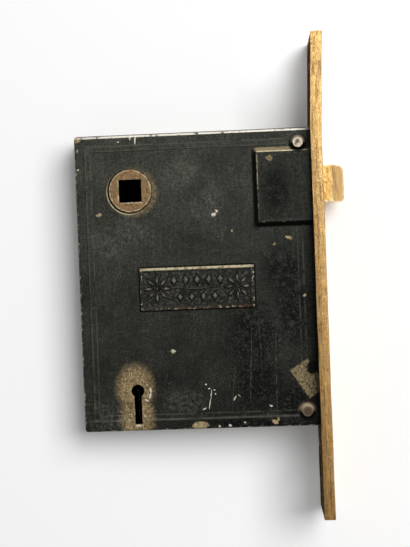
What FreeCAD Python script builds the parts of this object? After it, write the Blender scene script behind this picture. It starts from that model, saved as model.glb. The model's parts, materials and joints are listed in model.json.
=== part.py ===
import FreeCAD, Part
import math
import os
import re

import Sketcher
from FreeCAD import Placement, Rotation, Vector

# Mortise door lock: a flat cast case with its cap, a brass faceplate, a latch bolt that the hub
# draws back through a yoke, and a dead bolt held by three levers.
# Millimetres. The origin is the centre of the faceplate's back face, where it seats on the door.
# +X points out of the door's edge, +Z up, and the broad face with the raised tablet looks to -Y.
# The latch bolt is stored shot, the dead bolt drawn back, and the levers lifted to their gates.

SIZES = {
    # Faceplate
    "faceplate_thickness": 4.0,
    "faceplate_width": 25.4,
    "faceplate_length": 174.6,
    "faceplate_edge": 0.5,
    "screw_spacing": 155.6,
    "screw_hole_radius": 2.5,
    "screw_head_radius": 4.9,
    "lug_reach": 10.0,
    "lug_width": 5.6,
    "lug_depth": 8.0,
    "lug_inset": 5.5,
    # Case and cap
    "case_behind_spindle": 19.9,
    "case_height": 108.0,
    "case_thickness": 16.0,
    "front_wall": 2.6,
    "cap_thickness": 2.4,
    "top_wall": 2.4,
    "bottom_wall": 2.2,
    "rear_wall": 2.6,
    "case_edge": 1.1,
    "cap_edge": 0.8,
    "moulding_inset": 3.7,
    "moulding_width": 2.3,
    "moulding_rise": 0.35,
    "moulding_end": 9.0,
    # Raised bosses that give the latch bolt its room
    "boss_reach": 20.9,
    "boss_above": 13.5,
    "boss_below": 14.8,
    "boss_rise": 2.2,
    "boss_slope": 1.35,
    "boss_wall": 2.9,
    "boss_roof": 2.6,
    "boss_edge": 0.5,
    # Tablet on the broad face
    "tablet_setback": 42.7,
    "tablet_height": -2.5,
    "tablet_length": 41.4,
    "tablet_width": 15.3,
    "tablet_rise": 0.9,
    "tablet_rim": 1.3,
    "tablet_sink": 0.55,
    # Rivets through the lugs, and the cap's screws
    "rivet_radius": 2.0,
    "rivet_setback": 4.5,
    "rivet_head_radius": 2.7,
    "rivet_top_radius": 1.9,
    "rivet_head_height": 1.3,
    "rivet_spot_face": 0.1,
    "cap_screw_radius": 1.5,
    "cap_screw_head": 2.9,
    "cap_screw_slot": 0.8,
    "cap_screw_length": 9.5,
    "cap_screw_height": 3.0,
    "front_screw_setback": 14.0,
    "rear_screw_inset": 9.75,
    "screw_post_radius": 4.0,
    "fixed_clearance": 0.05,
    # Hub
    "backset": 69.85,
    "spindle_height": 33.5,
    "spindle_square": 8.0,
    "hub_journal_radius": 7.9,
    "hub_barrel_radius": 8.6,
    "hub_end_gap": 0.2,
    "hub_edge": 0.3,
    "yoke_top_gap": 0.95,
    "ear_radius": 2.0,
    "ear_thickness": 4.0,
    "running_clearance": 0.08,
    # Latch bolt, its stem, yoke and spring
    "latch_width": 13.0,
    "latch_breadth": 13.6,
    "latch_protrusion": 8.4,
    "latch_shank": 9.5,
    "latch_bevel_length": 4.8,
    "latch_bevel_depth": 11.0,
    "latch_nose": 0.8,
    "opening_clearance": 0.3,
    "stem_radius": 2.5,
    "stem_socket": 5.5,
    "stem_collar_radius": 3.9,
    "stem_collar_length": 1.5,
    "stem_tail_radius": 1.3,
    "stem_peen": 0.9,
    "latch_pin_radius": 1.0,
    "yoke_setback": 43.7,
    "yoke_bar": 3.5,
    "yoke_arm": 2.6,
    "yoke_breadth": 4.0,
    "yoke_corner": 1.6,
    "hook_gap": 0.35,
    "hook_length": 3.0,
    "guide_setback": 31.5,
    "guide_thickness": 2.5,
    "guide_half_height": 8.0,
    "spring_radius": 3.6,
    "spring_wire_radius": 0.5,
    "spring_wire_sides": 6,
    "spring_turns": 6,
    # Dead bolt
    "bolt_above_key": 16.2,
    "bolt_width": 19.0,
    "bolt_breadth": 10.2,
    "bolt_shank": 18.5,
    "bolt_inset": 0.2,
    "bolt_throw": 12.7,
    "bolt_edge": 0.5,
    "tail_thickness": 3.4,
    "tail_lap": 8.0,
    "tail_end_gap": 1.65,
    "tail_half_width": 8.2,
    "tail_corner": 1.5,
    "talon_corner": 0.8,
    "bolt_rivet_radius": 1.3,
    "bolt_rivet_spacing": 8.0,
    "side_gap": 0.3,
    # Levers on their post
    "post_setback": 30.0,
    "post_above_bolt": 1.2,
    "post_radius": 2.5,
    "post_seat": 1.6,
    "slot_clearance": 0.15,
    "stump_setback": 56.0,
    "stump_radius": 1.8,
    "stump_tenon_radius": 1.2,
    "gate_clearance": 0.2,
    "lever_count": 3,
    "lever_thickness": 1.8,
    "lever_gap": 0.3,
    "lever_eye": 5.2,
    "lever_end_gap": 3.15,
    "lever_top": 9.5,
    "lever_corner": 3.0,
    "lever_drop": 8.0,
    "belly_half_width": 6.0,
    "bit_step": 0.55,
    "lever_spring_thickness": 0.35,
    "lever_spring_width": 1.2,
    "lever_spring_foot": 7.0,
    "lever_spring_reach": 36.0,
    "spring_stop_thickness": 2.0,
    "spring_stop_length": 7.0,
    "spring_stop_above_post": 13.3,
    # Keyhole, and what the key's bit turns through
    "key_stem_radius": 2.35,
    "key_slot": 2.7,
    "key_reach": 12.1,
    "bit_width": 2.2,
    "ward_radius": 8.1,
    "ward_width": 1.0,
    "ward_rise": 0.7,
}

# Places that several pieces share, as formulas on the sizes
FRONT = "(-case_thickness / 2)"
FLOOR = "(front_wall - case_thickness / 2)"
CAP_SEAT = "(case_thickness / 2 - cap_thickness)"
BACK = "(case_thickness / 2)"
HALF_HEIGHT = "(case_height / 2)"
CAVITY = f"({CAP_SEAT} - {FLOOR})"
CASE_DEPTH = "(backset - faceplate_thickness + case_behind_spindle)"
LUG_HEIGHT = f"({HALF_HEIGHT} - lug_inset)"
REAR_SCREW = f"({CASE_DEPTH} - rear_screw_inset)"
SPINDLE_X = "(faceplate_thickness - backset)"
KEY_HEIGHT = f"(bottom_wall + side_gap + key_reach - {HALF_HEIGHT})"
BOLT_HEIGHT = f"({KEY_HEIGHT} + bolt_above_key)"
POST_HEIGHT = f"({BOLT_HEIGHT} + post_above_bolt)"
STOP_HEIGHT = f"({POST_HEIGHT} + spring_stop_above_post)"
LATCH_TIP = "(faceplate_thickness + latch_protrusion)"
HOOK_FACE = "(ear_radius + hook_gap)"
EAR_REACH = f"({HALF_HEIGHT} - top_wall - yoke_top_gap - yoke_arm - {HOOK_FACE} - spindle_height)"
YOKE_INSIDE = f"({EAR_REACH} + {HOOK_FACE})"
TAIL_FRONT = f"({FLOOR} + side_gap)"
TAIL_BACK = f"({TAIL_FRONT} + tail_thickness)"
TAIL_REACH = f"({CASE_DEPTH} - rear_wall - tail_end_gap)"
TAIL_END = "(tail_lap - bolt_shank)"
BOLT_RIVET_X = "(tail_lap / 2 - bolt_shank)"
LEVER_PITCH = "(lever_thickness + lever_gap)"
LEVER_REACH = f"({CASE_DEPTH} - rear_wall - lever_end_gap - post_setback)"
STUMP_END = f"({TAIL_BACK} + lever_count * {LEVER_PITCH} + lever_gap / 2)"

os.makedirs("parts", exist_ok=True)
doc = FreeCAD.newDocument("mortise_lock")
sheet = doc.addObject("Spreadsheet::Sheet", "sizes")
for row, (alias, size) in enumerate(SIZES.items(), start=1):
    sheet.set(f"A{row}", alias)
    sheet.set(f"B{row}", str(size))
    sheet.setAlias(f"B{row}", alias)
doc.recompute()

# How near two places are when an edge is looked for by its place
NEAR = 0.01

# Turns a primitive's own upright axis towards the broad face
TO_FRONT = Rotation(Vector(1, 0, 0), 90)

pieces = []


def bind(item, name, text):
    """Tie a property to a formula that names sizes of the sheet."""
    item.setExpression(name, re.sub(r"\b([a-z]\w*)\b(?!\()", r"sizes.\1", text))


def number(text):
    """What a formula is worth."""
    return float(sheet.evalExpression(text))


# Sketches

def sketch(body, plane, level, across="0", up="0"):
    """A sketch on one of the body's own planes, at a level along the plane's normal.

    The sketch's own zero is moved by (across, up) in the plane.
    """
    support = next(item for item in body.Origin.OriginFeatures if item.Role == plane)
    item = body.newObject("Sketcher::SketchObject", f"{body.Name}_sketch")
    item.AttachmentSupport = [(support, "")]
    item.MapMode = "FlatFace"
    bind(item, "AttachmentOffset.Base.x", across)
    bind(item, "AttachmentOffset.Base.y", up)
    bind(item, "AttachmentOffset.Base.z", level)
    return item


def face_sketch(body, y, x="0", z="0"):
    """A sketch parallel to the broad faces, drawn about (x, z). Its normal is -Y."""
    return sketch(body, "XZ_Plane", f"-({y})", x, z)


def place(item, edge, end, across, up):
    """Hold one end of an edge, or a circle's centre, at a place given by two formulas."""
    for kind, text in (("DistanceX", across), ("DistanceY", up)):
        held = item.addConstraint(Sketcher.Constraint(kind, -1, 1, edge, end, number(text)))
        bind(item, f"Constraints[{held}]", text)


def arc_between(begin, end, bend):
    """The arc shorter than a half circle from begin to end, anticlockwise for a plus bend."""
    chord = end - begin
    rise = math.sqrt(max(bend * bend - chord.Length ** 2 / 4, 0))
    left = Vector(-chord.y, chord.x, 0).normalize()
    centre = (begin + end) / 2 + left * math.copysign(rise, bend)
    angles = [math.atan2(spot.y - centre.y, spot.x - centre.x) for spot in (begin, end)]
    if bend < 0:
        angles.reverse()
    return Part.ArcOfCircle(Part.Circle(centre, Vector(0, 0, 1), abs(bend)), *angles)


def outline(item, corners):
    """Close an outline through corners (across, up), or (across, up, bend) at an arc's end.

    The first corner ends the edge that closes the outline.
    """
    spots = [Vector(number(corner[0]), number(corner[1]), 0) for corner in corners]
    runs = []
    for index, corner in enumerate(corners):
        begin, end = spots[index - 1], spots[index]
        if len(corner) == 2:
            edge = item.addGeometry(Part.LineSegment(begin, end), False)
            runs.append((edge, 1, 2))
            continue
        bend = number(corner[2])
        edge = item.addGeometry(arc_between(begin, end, bend), False)
        held = item.addConstraint(Sketcher.Constraint("Radius", edge, abs(bend)))
        bind(item, f"Constraints[{held}]", f"abs({corner[2]})")
        runs.append((edge, 1, 2) if bend > 0 else (edge, 2, 1))
    for index, (edge, first, last) in enumerate(runs):
        before, _, before_last = runs[index - 1]
        item.addConstraint(Sketcher.Constraint("Coincident", before, before_last, edge, first))
        place(item, edge, last, corners[index][0], corners[index][1])
    return item


def rectangle(item, left, bottom, right, top):
    return outline(item, [(left, bottom), (right, bottom), (right, top), (left, top)])


def circle(item, radius, across="0", up="0"):
    centre = Vector(number(across), number(up), 0)
    ring = Part.Circle(centre, Vector(0, 0, 1), number(radius))
    edge = item.addGeometry(ring, False)
    held = item.addConstraint(Sketcher.Constraint("Radius", edge, number(radius)))
    bind(item, f"Constraints[{held}]", radius)
    place(item, edge, 3, across, up)
    return item


def upright_slot(item, radius, half_length):
    """A slot about the sketch's zero, with its round ends half_length above and below."""
    return outline(item, [
        (radius, f"-{half_length}", radius),
        (radius, half_length),
        ("0", f"{half_length} + {radius}", radius),
        (f"-{radius}", half_length, radius),
        (f"-{radius}", f"-{half_length}"),
        ("0", f"-{half_length} - {radius}", radius),
    ])


# Features

def add_body(label):
    body = doc.addObject("PartDesign::Body", label)
    pieces.append(body)
    return body


def pad(body, profile, length, reverse=False):
    """Raise a profile along its sketch's normal."""
    feature = body.newObject("PartDesign::Pad", f"{body.Name}_pad")
    feature.Profile = profile
    feature.Reversed = reverse
    bind(feature, "Length", length)
    doc.recompute()
    return feature


def pocket(body, profile, length, reverse=False):
    """Cut a profile against its sketch's normal, or along it where reversed."""
    before = body.Shape.Volume
    feature = body.newObject("PartDesign::Pocket", f"{body.Name}_pocket")
    feature.Profile = profile
    feature.Reversed = reverse
    bind(feature, "Length", length)
    doc.recompute()
    if body.Shape.Volume >= before:
        raise ValueError(f"{feature.Label} cuts nothing")
    return feature


def loft(body, first, last):
    feature = body.newObject("PartDesign::AdditiveLoft", f"{body.Name}_loft")
    feature.Profile = first
    feature.Sections = [last]
    feature.Ruled = True
    doc.recompute()
    return feature


def countersunk_holes(body, profile, radius, head_radius, reverse=False):
    """Through holes with a cone for the screw's head, one at each circle of the profile."""
    before = body.Shape.Volume
    doc.recompute()
    feature = body.newObject("PartDesign::Hole", f"{body.Name}_holes")
    feature.Profile = profile
    feature.Reversed = reverse
    feature.DepthType = "ThroughAll"
    feature.HoleCutType = "Countersink"
    feature.HoleCutCustomValues = True
    feature.HoleCutCountersinkAngle = 90
    bind(feature, "Diameter", f"2 * ({radius})")
    bind(feature, "HoleCutDiameter", f"2 * ({head_radius})")
    doc.recompute()
    if body.Shape.Volume >= before:
        raise ValueError(f"{feature.Label} cuts nothing")
    return feature


def lies_at(edge, **places):
    """Whether a whole edge lies at each of the given X, Y or Z places."""
    box = edge.BoundBox
    return all(
        abs(getattr(box, axis + "Min") - number(text)) < NEAR
        and abs(getattr(box, axis + "Max") - number(text)) < NEAR
        for axis, text in places.items()
    )


def edges_at(body, *choices):
    """Names of the body's edges that lie at any of the choices."""
    names = []
    for index, edge in enumerate(body.Shape.Edges, start=1):
        if any(lies_at(edge, **choice) for choice in choices):
            names.append(f"Edge{index}")
    if not names:
        raise ValueError(f"{body.Label} has no edge at {choices}")
    return names


def soften(body, radius, *choices, kind="Fillet"):
    """Round or chamfer the edges that lie at any of the choices."""
    base, names = body.Tip, edges_at(body, *choices)
    feature = body.newObject(f"PartDesign::{kind}", f"{body.Name}_{kind.lower()}")
    feature.Base = (base, names)
    bind(feature, "Radius" if kind == "Fillet" else "Size", radius)
    doc.recompute()
    return feature


# Round stock

def stand(item, x, y, z, turn):
    item.Placement = Placement(Vector(), turn)
    for axis, text in (("x", x), ("y", y), ("z", z)):
        bind(item, f"Placement.Base.{axis}", text)
    return item


def rod(label, radius, length, x, y, z, turn=TO_FRONT):
    item = doc.addObject("Part::Cylinder", label)
    bind(item, "Radius", radius)
    bind(item, "Height", length)
    return stand(item, x, y, z, turn)


def cone(label, base_radius, top_radius, length, x, y, z):
    item = doc.addObject("Part::Cone", label)
    bind(item, "Radius1", base_radius)
    bind(item, "Radius2", top_radius)
    bind(item, "Height", length)
    return stand(item, x, y, z, TO_FRONT)


def joined(label, *shapes):
    item = doc.addObject("Part::MultiFuse", label)
    item.Shapes = list(shapes)
    return item


# Case, cap and faceplate

def boss(body, face, outward):
    """The raised boss over the latch bolt, on the case's or the cap's outer face."""
    foot = face_sketch(body, face, z="spindle_height")
    rectangle(foot, "-boss_reach", "-boss_below", "0", "boss_above")
    top = face_sketch(body, f"{face} {outward} boss_rise", z="spindle_height")
    rectangle(
        top, "boss_slope - boss_reach", "boss_slope - boss_below", "0", "boss_above - boss_slope",
    )
    loft(body, foot, top)
    lip = f"{face} {outward} boss_rise"
    soften(
        body, "boss_edge",
        {"Y": lip, "X": "boss_slope - boss_reach"},
        {"Y": lip, "Z": "spindle_height + boss_slope - boss_below"},
        {"Y": lip, "Z": "spindle_height + boss_above - boss_slope"},
    )


def boss_room(body, inner_face, depth, reverse):
    """The room inside a boss, open towards the cavity and at the case's front end."""
    room = face_sketch(body, inner_face, z="spindle_height")
    rectangle(
        room, "boss_wall - boss_reach", "boss_wall - boss_below",
        "faceplate_thickness", "boss_above - boss_wall",
    )
    pocket(body, room, depth, reverse)


def keyhole(body, face, depth, reverse=False):
    """Round hole for the key's stem over the slot for its bit."""
    stem = face_sketch(body, face, SPINDLE_X, KEY_HEIGHT)
    circle(stem, "key_stem_radius")
    pocket(body, stem, depth, reverse)
    slot = face_sketch(body, face, SPINDLE_X, KEY_HEIGHT)
    rectangle(slot, "-key_slot / 2", "-key_reach", "key_slot / 2", "0")
    pocket(body, slot, depth, reverse)


def hub_hole(body, face, depth, reverse=False):
    hole = face_sketch(body, face, SPINDLE_X, "spindle_height")
    circle(hole, "hub_journal_radius + running_clearance")
    pocket(body, hole, depth, reverse)


def make_case():
    """The tray that carries the works, open at the back for the cap and at the faceplate's end."""
    body = add_body("case")
    plate = face_sketch(body, FLOOR)
    rectangle(plate, f"-{CASE_DEPTH}", f"-{HALF_HEIGHT}", "0", HALF_HEIGHT)
    pad(body, plate, "front_wall")
    walls = face_sketch(body, CAP_SEAT)
    outline(walls, [
        (f"-{CASE_DEPTH}", f"-{HALF_HEIGHT}"),
        ("0", f"-{HALF_HEIGHT}"),
        ("0", f"bottom_wall - {HALF_HEIGHT}"),
        (f"rear_wall - {CASE_DEPTH}", f"bottom_wall - {HALF_HEIGHT}"),
        (f"rear_wall - {CASE_DEPTH}", f"{HALF_HEIGHT} - top_wall"),
        ("0", f"{HALF_HEIGHT} - top_wall"),
        ("0", HALF_HEIGHT),
        (f"-{CASE_DEPTH}", HALF_HEIGHT),
    ])
    pad(body, walls, CAVITY)
    soften(
        body, "case_edge",
        {"Y": FRONT, "X": f"-{CASE_DEPTH}"},
        {"Y": FRONT, "Z": HALF_HEIGHT},
        {"Y": FRONT, "Z": f"-{HALF_HEIGHT}"},
        {"X": f"-{CASE_DEPTH}", "Z": HALF_HEIGHT},
        {"X": f"-{CASE_DEPTH}", "Z": f"-{HALF_HEIGHT}"},
    )
    add_moulding(body)
    add_tablet(body)
    boss(body, FRONT, "-")
    add_case_posts(body)
    boss_room(body, FLOOR, "boss_rise + front_wall - boss_roof", True)
    hub_hole(body, FRONT, "front_wall")
    keyhole(body, f"{FRONT} - moulding_rise", "front_wall + moulding_rise")
    seats = face_sketch(body, f"{FRONT} - boss_rise")
    for side in ("", "-"):
        circle(seats, "rivet_head_radius + side_gap", "-rivet_setback", f"{side}{LUG_HEIGHT}")
    pocket(body, seats, "boss_rise + rivet_spot_face")
    rivets = face_sketch(body, FRONT)
    for side in ("", "-"):
        circle(rivets, "rivet_radius + fixed_clearance", "-rivet_setback", f"{side}{LUG_HEIGHT}")
    pocket(body, rivets, "front_wall")


def add_moulding(body):
    """A low moulding that follows the top, rear and bottom edges."""
    inner = "(moulding_inset + moulding_width)"
    strip = face_sketch(body, FRONT)
    outline(strip, [
        (f"moulding_inset - {CASE_DEPTH}", f"moulding_inset - {HALF_HEIGHT}"),
        ("-moulding_end", f"moulding_inset - {HALF_HEIGHT}"),
        ("-moulding_end", f"{inner} - {HALF_HEIGHT}"),
        (f"{inner} - {CASE_DEPTH}", f"{inner} - {HALF_HEIGHT}"),
        (f"{inner} - {CASE_DEPTH}", f"{HALF_HEIGHT} - {inner}"),
        ("-moulding_end", f"{HALF_HEIGHT} - {inner}"),
        ("-moulding_end", f"{HALF_HEIGHT} - moulding_inset"),
        (f"moulding_inset - {CASE_DEPTH}", f"{HALF_HEIGHT} - moulding_inset"),
    ])
    pad(body, strip, "moulding_rise")


def add_tablet(body):
    """A raised tablet with a rim round its sunk field."""
    for inset, level, length, cut in (
        ("0", FRONT, "tablet_rise", False),
        ("tablet_rim", f"({FRONT} - tablet_rise)", "tablet_sink", True),
    ):
        panel = face_sketch(body, level, "-tablet_setback", "tablet_height")
        rectangle(
            panel, f"{inset} - tablet_length / 2", f"{inset} - tablet_width / 2",
            f"tablet_length / 2 - {inset}", f"tablet_width / 2 - {inset}",
        )
        if cut:
            pocket(body, panel, length)
        else:
            pad(body, panel, length)


def add_case_posts(body):
    """Posts for the cap's screws, the stem's guide, the springs' stop and the lever post's seat."""
    posts = face_sketch(body, CAP_SEAT)
    for setback in ("front_screw_setback", REAR_SCREW):
        circle(posts, "screw_post_radius", f"-{setback}", "cap_screw_height")
    pad(body, posts, CAVITY)
    tapped = face_sketch(body, CAP_SEAT)
    for setback in ("front_screw_setback", REAR_SCREW):
        circle(tapped, "cap_screw_radius + fixed_clearance", f"-{setback}", "cap_screw_height")
    pocket(body, tapped, "cap_screw_length - cap_thickness + side_gap", True)
    guide = face_sketch(body, CAP_SEAT, "-guide_setback", "spindle_height")
    rectangle(guide, "-guide_thickness", "-guide_half_height", "0", "guide_half_height")
    pad(body, guide, CAVITY)
    stem_room = "(stem_radius + side_gap)"
    notch = sketch(body, "YZ_Plane", "-guide_setback", "0", "spindle_height")
    outline(notch, [
        ("0", f"-{stem_room}", stem_room),
        (BACK, f"-{stem_room}"),
        (BACK, stem_room),
        ("0", stem_room),
        (f"-{stem_room}", "0", stem_room),
    ])
    pocket(body, notch, "guide_thickness")
    stop = face_sketch(body, STUMP_END, "-post_setback - lever_spring_reach", STOP_HEIGHT)
    rectangle(stop, "-spring_stop_length / 2", "0", "spring_stop_length / 2", "spring_stop_thickness")
    pad(body, stop, f"{STUMP_END} - {FLOOR}")
    seat = face_sketch(body, FLOOR, "-post_setback", POST_HEIGHT)
    circle(seat, "post_radius + fixed_clearance")
    pocket(body, seat, "post_seat", True)


def make_cap():
    body = add_body("cap")
    plate = face_sketch(body, BACK)
    rectangle(plate, f"-{CASE_DEPTH}", f"-{HALF_HEIGHT}", "0", HALF_HEIGHT)
    pad(body, plate, "cap_thickness")
    soften(
        body, "cap_edge",
        {"Y": BACK, "X": f"-{CASE_DEPTH}"},
        {"Y": BACK, "Z": HALF_HEIGHT},
        {"Y": BACK, "Z": f"-{HALF_HEIGHT}"},
        {"X": f"-{CASE_DEPTH}", "Z": HALF_HEIGHT},
        {"X": f"-{CASE_DEPTH}", "Z": f"-{HALF_HEIGHT}"},
    )
    boss(body, BACK, "+")
    ward = face_sketch(body, CAP_SEAT, SPINDLE_X, KEY_HEIGHT)
    circle(ward, "ward_radius + ward_width / 2")
    circle(ward, "ward_radius - ward_width / 2")
    pad(body, ward, "ward_rise")
    boss_room(body, CAP_SEAT, "boss_rise + cap_thickness - boss_roof", False)
    hub_hole(body, BACK, "cap_thickness", True)
    keyhole(body, BACK, "cap_thickness + ward_rise", True)
    screws = face_sketch(body, BACK)
    for setback in ("front_screw_setback", REAR_SCREW):
        circle(screws, "cap_screw_radius + fixed_clearance", f"-{setback}", "cap_screw_height")
    countersunk_holes(
        body, screws, "cap_screw_radius + fixed_clearance", "cap_screw_head + fixed_clearance", True,
    )


def make_faceplate():
    body = add_body("faceplate")
    plate = sketch(body, "YZ_Plane", "0")
    rectangle(
        plate, "-faceplate_width / 2", "-faceplate_length / 2",
        "faceplate_width / 2", "faceplate_length / 2",
    )
    pad(body, plate, "faceplate_thickness")
    soften(
        body, "faceplate_edge",
        {"X": "faceplate_thickness", "Y": "faceplate_width / 2"},
        {"X": "faceplate_thickness", "Y": "-faceplate_width / 2"},
        {"X": "faceplate_thickness", "Z": "faceplate_length / 2"},
        {"X": "faceplate_thickness", "Z": "-faceplate_length / 2"},
    )
    lugs = sketch(body, "YZ_Plane", "0")
    for side in ("", "-"):
        rectangle(
            lugs, FLOOR, f"{side}{LUG_HEIGHT} - lug_width / 2",
            f"{FLOOR} + lug_depth", f"{side}{LUG_HEIGHT} + lug_width / 2",
        )
    pad(body, lugs, "lug_reach", True)
    for opening, half_breadth, half_height, height in (
        ("latch", "latch_breadth / 2", "latch_width / 2", "spindle_height"),
        ("bolt", "bolt_breadth / 2", "bolt_width / 2", BOLT_HEIGHT),
    ):
        hole = sketch(body, "YZ_Plane", "faceplate_thickness", "0", height)
        rectangle(
            hole, f"-{half_breadth} - opening_clearance", f"-{half_height} - opening_clearance",
            f"{half_breadth} + opening_clearance", f"{half_height} + opening_clearance",
        )
        pocket(body, hole, "faceplate_thickness")
    rivets = face_sketch(body, FLOOR)
    for side in ("", "-"):
        circle(rivets, "rivet_radius + fixed_clearance", "-rivet_setback", f"{side}{LUG_HEIGHT}")
    pocket(body, rivets, "lug_depth")
    screws = sketch(body, "YZ_Plane", "faceplate_thickness")
    for side in ("", "-"):
        circle(screws, "screw_hole_radius", "0", f"{side}screw_spacing / 2")
    countersunk_holes(body, screws, "screw_hole_radius", "screw_head_radius")


# Rivets, screws and the post

def make_front_rivet(label, height):
    shank = rod(
        f"{label}_shank", "rivet_radius", "front_wall + lug_depth",
        "-rivet_setback", f"{FLOOR} + lug_depth", height,
    )
    head = cone(
        f"{label}_head", "rivet_head_radius", "rivet_top_radius", "rivet_head_height",
        "-rivet_setback", f"{FRONT} + rivet_spot_face", height,
    )
    pieces.append(joined(label, shank, head))


def make_cap_screw(label, setback):
    where = (f"-{setback}", "cap_screw_height")
    shank = rod(
        f"{label}_shank", "cap_screw_radius", "cap_screw_length", where[0], BACK, where[1],
    )
    head = cone(
        f"{label}_head", "cap_screw_head", "cap_screw_radius",
        "cap_screw_head - cap_screw_radius", where[0], BACK, where[1],
    )
    slot = doc.addObject("Part::Box", f"{label}_slot")
    bind(slot, "Length", "2 * cap_screw_head")
    bind(slot, "Width", "cap_screw_slot")
    bind(slot, "Height", "cap_screw_slot")
    stand(
        slot, f"{where[0]} - cap_screw_head", f"{BACK} - cap_screw_slot",
        f"{where[1]} - cap_screw_slot / 2", Rotation(),
    )
    screw = doc.addObject("Part::Cut", label)
    screw.Base = joined(f"{label}_stock", shank, head)
    screw.Tool = slot
    pieces.append(screw)


def make_lever_post():
    pieces.append(rod(
        "lever_post", "post_radius", f"{CAVITY} + post_seat - lever_gap",
        "-post_setback", f"{CAP_SEAT} - lever_gap", POST_HEIGHT,
    ))


# Hub, and the latch bolt that it draws back

def make_hub():
    body = add_body("hub")
    barrel = face_sketch(body, f"{CAP_SEAT} - hub_end_gap", SPINDLE_X, "spindle_height")
    circle(barrel, "hub_barrel_radius")
    pad(body, barrel, f"{CAVITY} - 2 * hub_end_gap")
    journals = face_sketch(body, BACK, SPINDLE_X, "spindle_height")
    circle(journals, "hub_journal_radius")
    pad(body, journals, "case_thickness")
    ears = face_sketch(body, "ear_thickness / 2", SPINDLE_X, "spindle_height")
    upright_slot(ears, "ear_radius", EAR_REACH)
    pad(body, ears, "ear_thickness")
    square = face_sketch(body, FRONT, SPINDLE_X, "spindle_height")
    half = "spindle_square / 2"
    rectangle(square, f"-{half}", f"-{half}", half, half)
    pocket(body, square, "case_thickness")
    soften(body, "hub_edge", {"Y": FRONT}, {"Y": BACK}, kind="Chamfer")


def make_latch_head():
    body = add_body("latch_head")
    side = "latch_breadth / 2"
    plan = sketch(body, "XY_Plane", "spindle_height - latch_width / 2")
    outline(plan, [
        ("-latch_shank", f"-{side}"),
        (f"{LATCH_TIP} - latch_bevel_length", f"-{side}"),
        (LATCH_TIP, f"latch_bevel_depth - {side}"),
        (LATCH_TIP, side),
        ("-latch_shank", side),
    ])
    pad(body, plan, "latch_width")
    soften(body, "latch_nose", {"X": LATCH_TIP, "Y": f"latch_bevel_depth - {side}"})
    socket = sketch(body, "YZ_Plane", "-latch_shank", "0", "spindle_height")
    circle(socket, "stem_radius + fixed_clearance")
    pocket(body, socket, "stem_socket", True)
    cross_hole(body)


def cross_hole(body):
    """The upright hole that pins the latch head to its stem."""
    hole = sketch(
        body, "XY_Plane", "spindle_height + latch_width / 2", "stem_socket / 2 - latch_shank",
    )
    circle(hole, "latch_pin_radius + fixed_clearance")
    pocket(body, hole, "latch_width")


def make_latch_stem():
    body = add_body("latch_stem")
    half = face_sketch(body, "0", z="spindle_height")
    outline(half, [
        ("-yoke_setback - yoke_bar - stem_peen", "0"),
        ("stem_socket - latch_shank", "0"),
        ("stem_socket - latch_shank", "stem_radius"),
        ("stem_collar_length - yoke_setback", "stem_radius"),
        ("stem_collar_length - yoke_setback", "stem_collar_radius"),
        ("-yoke_setback", "stem_collar_radius"),
        ("-yoke_setback", "stem_tail_radius"),
        ("-yoke_setback - yoke_bar", "stem_tail_radius"),
        ("-yoke_setback - yoke_bar", "stem_tail_radius + stem_peen"),
        ("-yoke_setback - yoke_bar - stem_peen", "stem_tail_radius"),
    ])
    turned = body.newObject("PartDesign::Revolution", "latch_stem_turned")
    turned.Profile = half
    turned.ReferenceAxis = (half, ["H_Axis"])
    turned.Angle = 360
    doc.recompute()
    cross_hole(body)


def make_latch_yoke():
    body = add_body("latch_yoke")
    front = f"(-yoke_setback - {SPINDLE_X})"
    outside = f"({YOKE_INSIDE} + yoke_arm)"
    hook_tip = "(hub_barrel_radius + side_gap)"
    hook_back = f"({HOOK_FACE} + hook_length)"
    plan = face_sketch(body, "yoke_breadth / 2", SPINDLE_X, "spindle_height")
    outline(plan, [
        (f"-{hook_back}", f"-{outside}"),
        (front, f"-{outside}"),
        (front, outside),
        (f"-{hook_back}", outside),
        (f"-{hook_back}", hook_tip),
        (f"-{HOOK_FACE}", hook_tip),
        (f"-{HOOK_FACE}", YOKE_INSIDE),
        (f"{front} - yoke_bar", YOKE_INSIDE),
        (f"{front} - yoke_bar", f"-{YOKE_INSIDE}"),
        (f"-{HOOK_FACE}", f"-{YOKE_INSIDE}"),
        (f"-{HOOK_FACE}", f"-{hook_tip}"),
        (f"-{hook_back}", f"-{hook_tip}"),
    ])
    pad(body, plan, "yoke_breadth")
    soften(
        body, "yoke_corner",
        {"X": "-yoke_setback", "Z": f"spindle_height + {outside}"},
        {"X": "-yoke_setback", "Z": f"spindle_height - {outside}"},
        {"X": "-yoke_setback - yoke_bar", "Z": f"spindle_height + {YOKE_INSIDE}"},
        {"X": "-yoke_setback - yoke_bar", "Z": f"spindle_height - {YOKE_INSIDE}"},
        {"X": f"{SPINDLE_X} - {hook_back}", "Z": f"spindle_height + {outside}"},
        {"X": f"{SPINDLE_X} - {hook_back}", "Z": f"spindle_height - {outside}"},
    )
    hole = sketch(body, "YZ_Plane", "-yoke_setback", "0", "spindle_height")
    circle(hole, "stem_tail_radius + fixed_clearance")
    pocket(body, hole, "yoke_bar")


def make_latch_pin():
    pieces.append(rod(
        "latch_pin", "latch_pin_radius", "latch_width", "stem_socket / 2 - latch_shank",
        "0", "spindle_height - latch_width / 2", Rotation(),
    ))


def bent_edge(begin, begin_way, middle, end):
    """The arc from begin to end that leaves begin along begin_way, through the corner middle."""
    half_turn = begin_way.getAngle(end - begin)
    weight = math.cos(half_turn)
    crown = (begin + middle * 2 * weight + end) / (2 + 2 * weight)
    return Part.Arc(begin, crown, end).toShape()


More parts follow.
